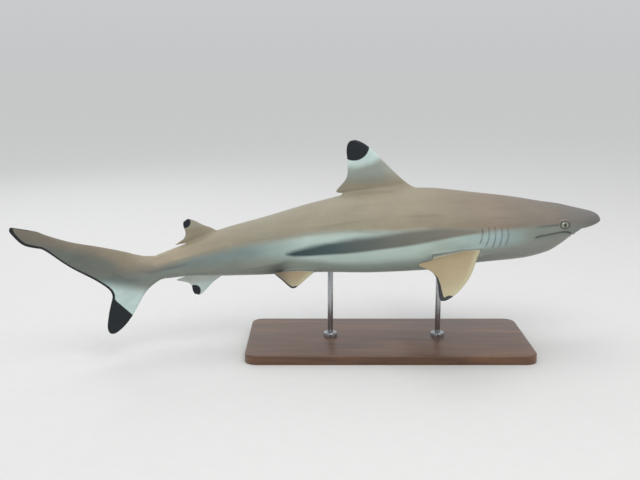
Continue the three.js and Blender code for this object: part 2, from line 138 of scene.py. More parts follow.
def spline(points: Sequence[Sequence[float]], share: float) -> Array:
    """Point at a share of an even Catmull-Rom curve through the points.

    Args:
        points: the curve's points, all of the same length.
        share: place on the curve, from 0 at its start to 1 at its end.

    Returns:
        The point, as an array.
    """
    row = np.asarray(points, float)
    last = len(row) - 1
    place = min(max(share, 0.0), 1.0) * last
    i = min(int(place), last - 1)
    t = place - i
    before, start, end, after = row[max(i - 1, 0)], row[i], row[i + 1], row[min(i + 2, last)]
    out, into = (end - before) / 2, (after - start) / 2
    return (
        (2 * start - 2 * end + out + into) * t**3
        + (3 * end - 3 * start - 2 * out - into) * t**2
        + out * t
        + start
    )


def smooth_path(points: Path, count: int = 70) -> Array:
    """Even points of the smooth curve through a path."""
    return np.array([spline(points, t) for t in np.linspace(0, 1, count)])


def path_distance(points: Array, path: Array) -> Array:
    """Shortest distance from each point to an open path of straight pieces.

    Args:
        points: (n, d) places.
        path: (m, d) corners of the path.

    Returns:
        The n distances.
    """
    best = np.full(len(points), np.inf)
    for a, b in zip(path[:-1], path[1:]):
        along = b - a
        t = np.clip((points - a) @ along / max(along @ along, 1e-12), 0, 1)
        best = np.minimum(best, np.linalg.norm(points - a - t[:, None] * along, axis=1))
    return best


# ------ form of the animal
@dataclass(frozen=True)
class Pose:
    """How the body is bent, in degrees, and between which stations.

    The held point is the place of the held station on the axis, in metres.
    """

    head_yaw: float = 9.0
    head_yaw_ends: float = 31.0
    tail_yaw: float = 40.0
    tail_yaw_starts: float = 43.0
    tail_yaw_ends: float = 98.0
    body_pitch: float = 4.0
    tail_pitch: float = 9.8
    tail_pitch_starts: float = 41.0
    tail_pitch_ends: float = 77.0
    held_station: float = 46.0
    held_point: tuple[float, float, float] = (-0.126, 0.003, 0.240)


class Axis:
    """The bent line through the body, with its own directions at every station."""

    END = 112.0
    STEPS = 448
    SEARCHES = 12
    SEARCH_STEP = 0.9

    def __init__(self, pose: Pose) -> None:
        """Walk the line from the snout back, then put the held station at its place.

        Args:
            pose: how the body is bent.
        """
        self.pose = pose
        self.stations = np.linspace(0, self.END, self.STEPS + 1)
        middles = (self.stations[:-1] + self.stations[1:]) / 2
        steps = -self.forward(middles) * (self.END / self.STEPS) * PERCENT
        self.points = np.vstack([np.zeros(3), np.cumsum(steps, axis=0)])
        self.points += np.array(pose.held_point) - self.origin(np.array([pose.held_station]))

    def forward(self, stations: Array) -> Array:
        """Unit vectors towards the head at the stations.

        Args:
            stations: places along the axis, in percent.

        Returns:
            The vectors, one row for each station.
        """
        p = self.pose
        head = 1 - ease(stations / p.head_yaw_ends)
        tail = rise(stations, p.tail_yaw_starts, p.tail_yaw_ends)
        rear = rise(stations, p.tail_pitch_starts, p.tail_pitch_ends)
        yaw = np.radians(p.head_yaw * head + p.tail_yaw * tail)
        pitch = np.radians(p.body_pitch + (p.tail_pitch - p.body_pitch) * rear)
        flat = np.cos(pitch)
        return np.stack([np.cos(yaw) * flat, np.sin(yaw) * flat, np.sin(pitch)], axis=-1)

    def origin(self, stations: Array) -> Array:
        """Points of the line at the stations."""
        return np.stack(
            [np.interp(stations, self.stations, self.points[:, k]) for k in range(3)], axis=-1
        )

    def directions(self, stations: Array) -> tuple[Array, Array, Array]:
        """Forward, left and up at the stations.

        Args:
            stations: places along the axis, in percent.

        Returns:
            Three arrays of unit vectors.
        """
        forward = self.forward(stations)
        left = np.stack([-forward[..., 1], forward[..., 0], 0 * forward[..., 0]], axis=-1)
        left /= np.linalg.norm(left, axis=-1, keepdims=True)
        return forward, left, np.cross(forward, left)

    def place(self, stations: Array, lateral: Array, height: Array) -> Array:
        """Points beside the line.

        Args:
            stations: places along the line, in percent.
            lateral: offsets to the left, in metres.
            height: offsets upwards, in percent.

        Returns:
            (n, 3) points.
        """
        _, left, up = self.directions(stations)
        lateral, height = np.asarray(lateral), np.asarray(height)
        return (
            self.origin(stations)
            + left * lateral[..., None]
            + up * (height * PERCENT)[..., None]
        )

    def locate(self, points: Array) -> tuple[Array, Array, Array]:
        """Station, lateral offset in metres and height in percent of each point.

        Args:
            points: (n, 3) places near the body.

        Returns:
            The three coordinates of each point.
        """
        order = np.argsort(self.points[:, 0])
        stations = np.interp(points[:, 0], self.points[order, 0], self.stations[order])
        for _ in range(self.SEARCHES):
            past = points - self.origin(stations)
            gap = np.einsum("ij,ij->i", past, self.forward(stations))
            stations = np.clip(stations - self.SEARCH_STEP * gap / PERCENT, 0, self.END)
        past = points - self.origin(stations)
        _, left, up = self.directions(stations)
        lateral = np.einsum("ij,ij->i", past, left)
        height = np.einsum("ij,ij->i", past, up) / PERCENT
        return stations, lateral, height


class Trunk:
    """The body's sections on the axis: station, back, belly and half width, in percent."""

    STATIONS = np.array(
        [
            [0, 0, 0, 0], [1, 1.26, 0.42, 2.2], [2.5, 1.8, 0.78, 3.3], [4.5, 2.42, 1.1, 4.12],
            [7, 3.2, 2.7, 4.7], [10.5, 4.0, 4.6, 5.3], [15, 5.1, 5.25, 5.82],
            [21, 6.25, 5.35, 6.13], [31, 7.8, 6.05, 6.18], [39, 7.95, 5.9, 5.92],
            [48, 6.65, 5.25, 5.15], [57, 4.95, 4.75, 4.12], [65, 3.95, 3.7, 3.1],
            [71, 2.75, 2.4, 2.42], [75.5, 2.2, 1.78, 1.85], [78, 2.0, 1.5, 1.4],
        ]
    )
    BACK_FULLNESS = 2.0
    BELLY_FULLNESS = 2.3
    END = 75.5

    def __init__(self, axis: Axis) -> None:
        """Work out the slopes of the monotone curves through each column of sizes.

        Args:
            axis: the bent line through the body.
        """
        self.axis = axis
        self.roots = np.sqrt(self.STATIONS[:, 0])
        self.slopes = []
        for column in (1, 2, 3):
            steps = np.diff(self.STATIONS[:, column]) / np.diff(self.roots)
            before, after = steps[:-1], steps[1:]
            middle = np.where(
                before * after > 0, 2 * before * after / (before + after + 1e-12), 0
            )
            self.slopes.append(np.concatenate([steps[:1], middle, steps[-1:]]))

    def size(self, stations: Array, column: int) -> Array:
        """Back (1), belly (2) or half width (3) at the stations, in percent.

        Args:
            stations: places along the axis, in percent.
            column: which of the sizes.

        Returns:
            The sizes.
        """
        root = np.sqrt(np.clip(stations, 0, self.STATIONS[-1, 0]))
        i = np.clip(np.searchsorted(self.roots, root) - 1, 0, len(self.roots) - 2)
        run = self.roots[i + 1] - self.roots[i]
        t = (root - self.roots[i]) / run
        start, end = self.STATIONS[i, column], self.STATIONS[i + 1, column]
        slope = self.slopes[column - 1]
        return (
            start * (1 + 2 * t) * (1 - t) ** 2
            + run * slope[i] * t * (1 - t) ** 2
            + end * t * t * (3 - 2 * t)
            + run * slope[i + 1] * t * t * (t - 1)
        )

    def section(self, stations: Array, degrees: Array) -> tuple[Array, Array]:
        """Lateral offset in metres and height in percent of the skin.

        Args:
            stations: places along the axis.
            degrees: 90 on the back, 0 on the left flank, -90 on the belly.

        Returns:
            The two offsets.
        """
        c, s = np.cos(np.radians(degrees)), np.sin(np.radians(degrees))
        power = 2 / np.where(s > 0, self.BACK_FULLNESS, self.BELLY_FULLNESS)
        tall = np.where(s > 0, self.size(stations, 1), self.size(stations, 2))
        wide = self.size(stations, 3) * PERCENT
        lateral = wide * np.sign(c) * np.abs(c) ** power
        return lateral, tall * np.sign(s) * np.abs(s) ** power

    def surface(self, stations: Array, degrees: Array) -> Array:
        """Points of the skin at stations and angles round the section.

        Args:
            stations: places along the axis, in percent.
            degrees: angles as in section.

        Returns:
            (n, 3) points.
        """
        stations = np.asarray(stations, float)
        lateral, height = self.section(stations, np.asarray(degrees, float))
        return self.axis.place(stations, lateral, height)

    def angle(self, stations: Array, lateral: Array, height: Array) -> Array:
        """Angle round the section of points near the skin, in degrees.

        Args:
            stations: places along the axis, in percent.
            lateral: offsets in metres, left positive.
            height: offsets in percent.

        Returns:
            The angles, as in section.
        """
        power = np.where(height > 0, self.BACK_FULLNESS, self.BELLY_FULLNESS) / 2
        tall = np.where(height > 0, self.size(stations, 1), self.size(stations, 2))
        wide = np.maximum(self.size(stations, 3) * PERCENT, 1e-6)
        s = np.sign(height) * (np.abs(height) / np.maximum(tall, 1e-6)) ** power
        c = np.sign(lateral) * (np.abs(lateral) / wide) ** power
        return np.degrees(np.arctan2(s, c))

    def flank(self, places: Array) -> tuple[Array, Array]:
        """Station of each place, and its angle round the section as on the left flank."""
        stations, lateral, height = self.axis.locate(places)
        return stations, self.angle(stations, np.abs(lateral), height)

    def seat(self, station: float, angle: float, side: Side) -> tuple[Array, ...]:
        """A point on the skin and the axis' directions there.

        Args:
            station: place along the axis.
            angle: angle round the section, as on the left flank.
            side: side of the animal.

        Returns:
            The point, and the directions forward, left and up.
        """
        at = np.array([station])
        lateral, height = self.section(at, np.array([angle]))
        point = self.axis.place(at, lateral * side.value, height)[0]
        return point, *(direction[0] for direction in self.axis.directions(at))

    def facing(self, station: float, angle: float, side: Side) -> tuple[Array, ...]:
        """A point on the skin and the directions of what is set into it.

        Args:
            station: place along the axis.
            angle: angle round the section, as on the left flank.
            side: side of the animal.

        Returns:
            The point, and the directions forward, up along the skin, and outward.
        """
        point, forward, left, up = self.seat(station, angle, side)
        tilt = math.radians(angle)
        outward = left * math.cos(tilt) * side.value + up * math.sin(tilt)
        return point, forward, np.cross(outward, forward) * side.value, outward


@dataclass(frozen=True)
class Ribs:
    """Edges of a fin: its leading and trailing points, in percent, from root to tip."""

    points: tuple[tuple[tuple[float, float], tuple[float, float]], ...]

    def at(self, span: float) -> tuple[Array, Array]:
        """Leading and trailing point at a share of the span."""
        leading = spline([p for p, _ in self.points], span)
        return leading, spline([p for _, p in self.points], span)

    def trailing_path(self, start: float, end: float, count: int = 60) -> Array:
        """Points of the trailing edge between two shares of the span."""
        return np.array([self.at(t)[1] for t in np.linspace(start, end, count)])

    def leading_path(self, start: float, end: float, count: int = 60) -> Array:
        """Points of the leading edge between two shares of the span."""
        return np.array([self.at(t)[0] for t in np.linspace(start, end, count)])


@dataclass(frozen=True)
class FinPlane:
    """Plane of a paired fin, hinged at the front of its base on the skin."""

    station: float
    angle: float
    toe_out: float
    incidence: float
    droop: float

    def basis(self, trunk: Trunk, side: Side) -> tuple[Array, Array, Array, Array]:
        """Origin and directions of the plane.

        Args:
            trunk: the body that carries the fin.
            side: side of the fin.

        Returns:
            Origin, and the directions back along the chord, out along the span, and across.
        """
        origin, forward, left, up = trunk.seat(self.station, self.angle, side)
        chord = (
            -forward
            + left * math.tan(math.radians(self.toe_out)) * side.value
            - up * math.tan(math.radians(self.incidence))
        )
        chord /= np.linalg.norm(chord)
        droop = math.radians(self.droop)
        span = left * math.cos(droop) * side.value - up * math.sin(droop)
        span = span - chord * (span @ chord)
        span /= np.linalg.norm(span)
        return origin, chord, span, np.cross(chord, span)


@dataclass(frozen=True)
class FinForm:
    """One kind of fin and where it grows from the skin's net of rings and columns."""

    name: str
    ribs: Ribs
    thickness: float
    centre_column: int
    half_columns: int
    base: Pair
    first_span: float
    loops: int
    plane: Optional[FinPlane] = None
    underside: bool = False


FIRST_DORSAL = FinForm(
    name="first dorsal fin",
    ribs=Ribs(
        (
            ((30.6, 6.6), (41.6, 6.4)), ((32.2, 8.25), (43.2, 7.75)),
            ((33.8, 9.75), (44.7, 8.15)), ((35.6, 11.7), (42.7, 10.2)),
            ((37.6, 14.0), (42.4, 12.9)), ((39.1, 15.55), (42.45, 14.7)),
            ((40.3, 16.3), (42.2, 15.9)), ((41.0, 16.5), (41.7, 16.4)),
        )
    ),
    thickness=17 * MM,
    centre_column=0,
    half_columns=2,
    base=(31.3, 42.9),
    first_span=0.165,
    loops=17,
)
SECOND_DORSAL = FinForm(
    name="second dorsal fin",
    ribs=Ribs(
        (
            ((63.8, 2.6), (68.2, 1.9)), ((65.2, 4.45), (69.9, 3.05)), ((66.2, 5.1), (72.0, 3.1)),
            ((67.0, 5.65), (70.4, 3.65)), ((67.8, 6.3), (69.75, 4.7)),
            ((68.5, 6.75), (69.95, 5.8)), ((69.05, 6.95), (69.8, 6.6)),
        )
    ),
    thickness=7 * MM,
    centre_column=0,
    half_columns=1,
    base=(64.4, 69.6),
    first_span=0.18,
    loops=12,
)
ANAL = FinForm(
    name="anal fin",
    ribs=Ribs(
        (
            ((64.2, -2.2), (68.4, -1.4)), ((65.6, -3.9), (70.4, -2.45)),
            ((66.6, -4.4), (73.0, -2.65)), ((67.5, -5.0), (71.3, -3.45)),
            ((68.3, -5.6), (70.5, -4.2)), ((68.9, -6.0), (70.5, -5.1)),
            ((69.5, -6.2), (70.3, -5.8)),
        )
    ),
    thickness=7 * MM,
    centre_column=32,
    half_columns=1,
    base=(65.0, 70.3),
    first_span=0.2,
    loops=12,
    underside=True,
)
PECTORAL = FinForm(
    name="pectoral fin",
    ribs=Ribs(
        (
            ((-1.0, -2.6), (5.4, -3.4)), ((0.1, 0.2), (6.9, -0.9)), ((0.9, 1.7), (8.9, -0.35)),
            ((1.8, 3.4), (10.55, 0.15)), ((3.0, 5.7), (9.35, 3.0)), ((4.4, 8.2), (9.2, 5.7)),
            ((6.0, 10.45), (9.75, 8.7)), ((7.6, 12.4), (10.4, 11.2)),
            ((9.0, 13.7), (10.85, 13.1)), ((10.1, 14.35), (10.9, 14.1)),
        )
    ),
    thickness=19 * MM,
    centre_column=21,
    half_columns=2,
    base=(21.7, 29.3),
    first_span=0.155,
    loops=20,
    plane=FinPlane(station=22.1, angle=-24, toe_out=6.3, incidence=6.3, droop=9.5),
)
PELVIC = FinForm(
    name="pelvic fin",
    ribs=Ribs(
        (
            ((-0.8, -2.0), (4.0, -2.0)), ((0.1, 0.1), (5.3, -0.15)), ((0.7, 0.65), (7.1, 0.15)),
            ((1.5, 1.35), (6.2, 1.15)), ((2.4, 2.15), (5.35, 2.1)), ((3.2, 2.85), (4.7, 2.85)),
            ((3.75, 3.2), (4.25, 3.2)),
        )
    ),
    thickness=9 * MM,
    centre_column=25,
    half_columns=1,
    base=(48.6, 54.2),
    first_span=0.2,
    loops=11,
    plane=FinPlane(station=48.9, angle=-52, toe_out=2.3, incidence=-2.7, droop=47),
)


@dataclass(frozen=True)
class TailFinForm:
    """The tail fin: ribs that fan out from its upper edge, and its thickness in metres."""

    ribs: Ribs = Ribs(
        (
            ((75.5, 2.2), (75.5, -1.78)), ((76.9, 2.6), (78.2, -3.1)),
            ((77.9, 3.03), (81.6, -6.9)), ((78.7, 3.45), (84.5, -8.5)),
            ((79.3, 3.8), (85.65, -7.5)), ((79.8, 4.1), (84.7, -4.5)),
            ((81.8, 5.15), (83.6, -1.9)), ((84.6, 6.55), (85.5, 0.85)),
            ((88.3, 8.35), (89.3, 4.5)), ((91.7, 10.5), (92.4, 8.2)),
            ((93.0, 11.5), (93.6, 9.0)), ((94.9, 12.45), (95.6, 10.2)),
            ((96.8, 13.35), (97.05, 12.7)),
        )
    )
    core: float = 15 * MM
    core_depth: float = 0.34
    web: float = 2.6 * MM
    core_taper: float = 1.6
    web_taper: float = 0.75
    root_share: float = 0.22
    loops: int = 40
    lower_tip_share: float = 3.3 / 12


EDGE_THICKNESS = 1.4 * MM
TIP_SHARE = 0.08  # a fin's thickness at its tip as a share of that at its root
SPAN_TAPER = 1.15  # power by which a fin thins along its span
NOSE_ROUNDING = 0.012  # share of the chord by which a leading edge is drawn back at its sides
TAIL_FIN = TailFinForm()


def foil(chord: Array) -> Array:
    """Half thickness of a fin's section at a share of its chord, 1 at its thickest."""
    return 2.6 * np.sqrt(chord) * (1 - chord)


# ------ modelling bench
class Bench:
    """Operator steps shared by the pieces. One piece is on the bench at a time."""

    @staticmethod
    def clear() -> None:
        """Leave edit mode and deselect every object."""
        if bpy.context.object and bpy.context.object.mode != "OBJECT":
            bpy.ops.object.mode_set(mode="OBJECT")
        bpy.ops.object.select_all(action="DESELECT")

    @staticmethod
    def take(name: str) -> Piece:
        """Name the primitive that was just added and settle its place in its mesh.

        Args:
            name: the piece's name.

        Returns:
            The piece.
        """
        piece = bpy.context.object
        piece.name = name
        piece.data.name = name
        bpy.ops.object.transform_apply(location=True, rotation=True, scale=True)
        return piece

    @staticmethod
    def cylinder(
        name: str, vertices: int, radius: float, depth: float, place: Vector, tilt: float = 0.0
    ) -> Piece:
        """Add a cylinder with nothing else selected.

        Args:
            name: the piece's name.
            vertices: corners of its rims.
            radius: its radius.
            depth: its height.
            place: its middle.
            tilt: its turn about X, in radians.

        Returns:
            The piece.
        """
        Bench.clear()
        bpy.ops.mesh.primitive_cylinder_add(
            vertices=vertices, radius=radius, depth=depth, location=place, rotation=(tilt, 0, 0)
        )
        return Bench.take(name)

    @staticmethod
    def edit(piece: Piece, by: Pick = Pick.VERTEX) -> bmesh.types.BMesh:
        """Open a piece in edit mode with nothing selected and return its mesh.

        Args:
            piece: the piece.
            by: what a selection is made of.

        Returns:
            The mesh in edit mode.
        """
        if piece.mode != "EDIT":
            bpy.ops.object.mode_set(mode="EDIT")
        bpy.ops.mesh.select_all(action="DESELECT")
        bpy.ops.mesh.select_mode(type=by.value)
        return bmesh.from_edit_mesh(piece.data)

    @staticmethod
    def faces(piece: Piece, test: Callable[[bmesh.types.BMFace], bool]) -> None:
        """Select only the faces that pass a test.

        Args:
            piece: the piece.
            test: says of a face whether it is wanted.
        """
        mesh = Bench.edit(piece, Pick.FACE)
        for face in mesh.faces:
            face.select_set(test(face))
        mesh.select_flush_mode()

    @staticmethod
    def edges(piece: Piece, test: Callable[[bmesh.types.BMEdge], bool]) -> None:
        """Select only the edges that pass a test.

        Args:
            piece: the piece.
            test: says of an edge whether it is wanted.
        """
        mesh = Bench.edit(piece, Pick.EDGE)
        for edge in [e for e in mesh.edges if test(e)]:
            edge.select_set(True)
        mesh.select_flush_mode()

    @staticmethod
    def modify(piece: Piece, kind: str, **settings: object) -> None:
        """Add a modifier to a piece and apply it.

        Args:
            piece: the piece.
            kind: the modifier's type.
            **settings: values of its settings.
        """
        if piece.mode != "OBJECT":
            bpy.ops.object.mode_set(mode="OBJECT")
        modifier = piece.modifiers.new(kind.title(), kind)
        for key, value in settings.items():
            setattr(modifier, key, value)
        bpy.ops.object.modifier_apply(modifier=modifier.name)

    @staticmethod
    def finish(piece: Piece, smooth_angle: Optional[float] = None) -> None:
        """Close a piece's edit with its faces outward and its shading smooth.

        Args:
            piece: the piece.
            smooth_angle: degrees past which an edge stays sharp, if any does.
        """
        if piece.mode != "EDIT":
            bpy.ops.object.mode_set(mode="EDIT")
        bpy.ops.mesh.select_all(action="SELECT")
        bpy.ops.mesh.normals_make_consistent(inside=False)
        bpy.ops.object.mode_set(mode="OBJECT")
        if smooth_angle is None:
            bpy.ops.object.shade_smooth()
        else:
            bpy.ops.object.shade_smooth_by_angle(angle=math.radians(smooth_angle))


def corners_of(mesh: bpy.types.Mesh) -> Array:
    """Vertex places of a mesh, as an (n, 3) array.

    Args:
        mesh: the mesh, out of edit mode.

    Returns:
        The places in metres.
    """
    flat = np.empty(len(mesh.vertices) * 3, np.float32)
    mesh.vertices.foreach_get("co", flat)
    return flat.reshape(-1, 3).astype(float)


def set_corners(mesh: bpy.types.Mesh, places: Array) -> None:
    """Move every vertex of a mesh to its place."""
    mesh.vertices.foreach_set("co", places.astype(np.float32).ravel())
    mesh.update()


def normals_of(mesh: bpy.types.Mesh) -> Array:
    """Vertex normals of a mesh, as an (n, 3) array.

    Args:
        mesh: the mesh, out of edit mode.

    Returns:
        The unit normals.
    """
    flat = np.empty(len(mesh.vertices) * 3, np.float32)
    mesh.vertex_normals.foreach_get("vector", flat)
    return flat.reshape(-1, 3).astype(float)


def write_attribute(mesh: bpy.types.Mesh, name: str, columns: Sequence[Array]) -> None:
    """Store three values for each vertex as a vector attribute."""
    made = mesh.attributes.new(name, "FLOAT_VECTOR", "POINT")
    made.data.foreach_set("vector", np.stack(columns, axis=-1).astype(np.float32).ravel())


# ------ finishes
def paint(red: float, green: float, blue: float) -> tuple[float, float, float, float]:
    """A colour given as 0 to 255 display values, in the shader's linear light.

    Args:
        red: red part.
        green: green part.
        blue: blue part.

    Returns:
        Red, green, blue and an alpha of 1.
    """
    linear = [
        v / 12.92 if v <= 0.04045 else ((v + 0.055) / 1.055) ** 2.4
        for v in (red / 255, green / 255, blue / 255)
    ]
    return (linear[0], linear[1], linear[2], 1.0)


class Shader:
    """Builds one node material from small steps."""

    USUAL_NOISE = (0.3, 0.7)

    def __init__(self, name: str) -> None:
        """Start a material that holds only the surface and the output.

        Args:
            name: the material's name.
        """
        self.material = bpy.data.materials.new(name)
        self.material.use_nodes = True
        self.nodes = self.material.node_tree.nodes
        self.links = self.material.node_tree.links
        self.nodes.clear()
        self.surface = self.nodes.new("ShaderNodeBsdfPrincipled")
        output = self.nodes.new("ShaderNodeOutputMaterial")
        self.links.new(self.surface.outputs["BSDF"], output.inputs["Surface"])

    def feed(self, socket: Socket, value: object) -> None:
        """Link a value to a socket, or set it where the value is a number or a colour.

        Args:
            socket: an input.
            value: a socket, a number or a colour.
        """
        if isinstance(value, Socket):
            self.links.new(value, socket)
        else:
            socket.default_value = value

    def node(
        self, kind: str, inputs: dict[str | int, object], output: str | int = 0, **settings: str
    ) -> Socket:
        """Add a node and feed it.

        Args:
            kind: type of the node.
            inputs: what its inputs get, by name or number.
            output: which output is wanted.
            **settings: choices among the node's options.

        Returns:
            The output's socket.
        """
        made = self.nodes.new(f"ShaderNode{kind}")
        for key, choice in settings.items():
            setattr(made, key, choice)
        for key, value in inputs.items():
            self.feed(made.inputs[key], value)
        return made.outputs[output]

    def attribute(self, name: str) -> list[Socket]:
        """The three values of a vector attribute."""
        vector = self.node("Attribute", {}, "Vector", attribute_name=name)
        return list(self.node("SeparateXYZ", {0: vector}).node.outputs)

    def place(self, stretch: Sequence[float] = (1, 1, 1)) -> Socket:
        """Place on the object, in metres, scaled along each axis."""
        vector = self.node("TexCoord", {}, "Object")
        return self.node("Mapping", {"Vector": vector, "Scale": stretch})

    def flow(self, name: str, stretch: Sequence[float]) -> Socket:
        """Place along and round the body, in metres, scaled along each axis."""
        vector = self.node("Attribute", {}, "Vector", attribute_name=name)
        return self.node("Mapping", {"Vector": vector, "Scale": stretch})

    def math(self, kind: str, *values: object) -> Socket:
        """One arithmetic step."""
        return self.node("Math", dict(enumerate(values)), operation=kind)

    def step(self, value: object, low: float, high: float) -> Socket:
        """Smooth step of a value from 0 at low to 1 at high.

        Args:
            value: the value's socket.
            low: where the step starts.
            high: where it is done, below low if falling.

        Returns:
            The socket.
        """
        limits = {"Value": value, "From Min": min(low, high), "From Max": max(low, high)}
        rising = self.node("MapRange", limits, interpolation_type="SMOOTHSTEP")
        return rising if low < high else self.math("SUBTRACT", 1.0, rising)

    def scale(
        self, value: object, low: float, high: float, to_low: float, to_high: float
    ) -> Socket:
        """A value taken from one range to another, in proportion."""
        limits = {"From Min": low, "From Max": high, "To Min": to_low, "To Max": to_high}
        return self.node("MapRange", {"Value": value, **limits})

    def spread(self, noise: Socket, low: float, high: float) -> Socket:
        """Noise stretched so that its usual reach runs from low to high."""
        return self.scale(noise, *self.USUAL_NOISE, low, high)

    def noise(
        self,
        vector: Socket,
        scale: float,
        detail: float = 3.0,
        roughness: float = 0.5,
        distortion: float = 0.0,
    ) -> Socket:
        """Cloudy noise from 0 to 1."""
        form = {"Detail": detail, "Roughness": roughness, "Distortion": distortion}
        return self.node("TexNoise", {"Vector": vector, "Scale": scale, **form})

    def cells(self, vector: Socket, scale: float) -> Socket:
        """Distance from the middles of small cells."""
        return self.node("TexVoronoi", {"Vector": vector, "Scale": scale}, "Distance")

    def ramp(self, value: object, stops: Sequence[tuple[float, tuple[float, ...]]]) -> Socket:
        """Colours along a value from 0 to 1.

        Args:
            value: the value's socket.
            stops: (value, colour) of each stop.

        Returns:
            The socket.
        """
        colour = self.node("ValToRGB", {"Fac": value}, "Color")
        elements = colour.node.color_ramp.elements
        while len(elements) < len(stops):
            elements.new(0.5)
        for element, (position, tint) in zip(elements, stops):
            element.position = position
            element.color = tint
        return colour

    def mix(self, share: object, under: object, over: object, blend: str = "MIX") -> Socket:
        """One colour laid over another by a share."""
        inputs = {"Factor": share, 6: under, 7: over}
        return self.node("Mix", inputs, 2, data_type="RGBA", blend_type=blend)

    def tone(self, colour: object, level: object) -> Socket:
        """A colour made lighter or darker by a level, 1 leaving it as it is."""
        grey = self.node("CombineColor", dict.fromkeys(range(3), level))
        return self.mix(1.0, colour, grey, "MULTIPLY")

    def bump(self, heights: Sequence[tuple[object, float, float]]) -> None:
        """Lay relief on the surface.

        Args:
            heights: (height, depth in metres, strength) of each layer, coarse to fine.
        """
        below = None
        for height, depth, strength in heights:
            inputs = {"Height": height, "Distance": depth, "Strength": strength}
            if below is not None:
                inputs["Normal"] = below
            below = self.node("Bump", inputs)
        self.links.new(below, self.surface.inputs["Normal"])

    def set(self, **values: object) -> None:
        """Set or link the surface's sockets, named with underscores for spaces."""
        for key, value in values.items():
            self.feed(self.surface.inputs[key.replace("_", " ")], value)


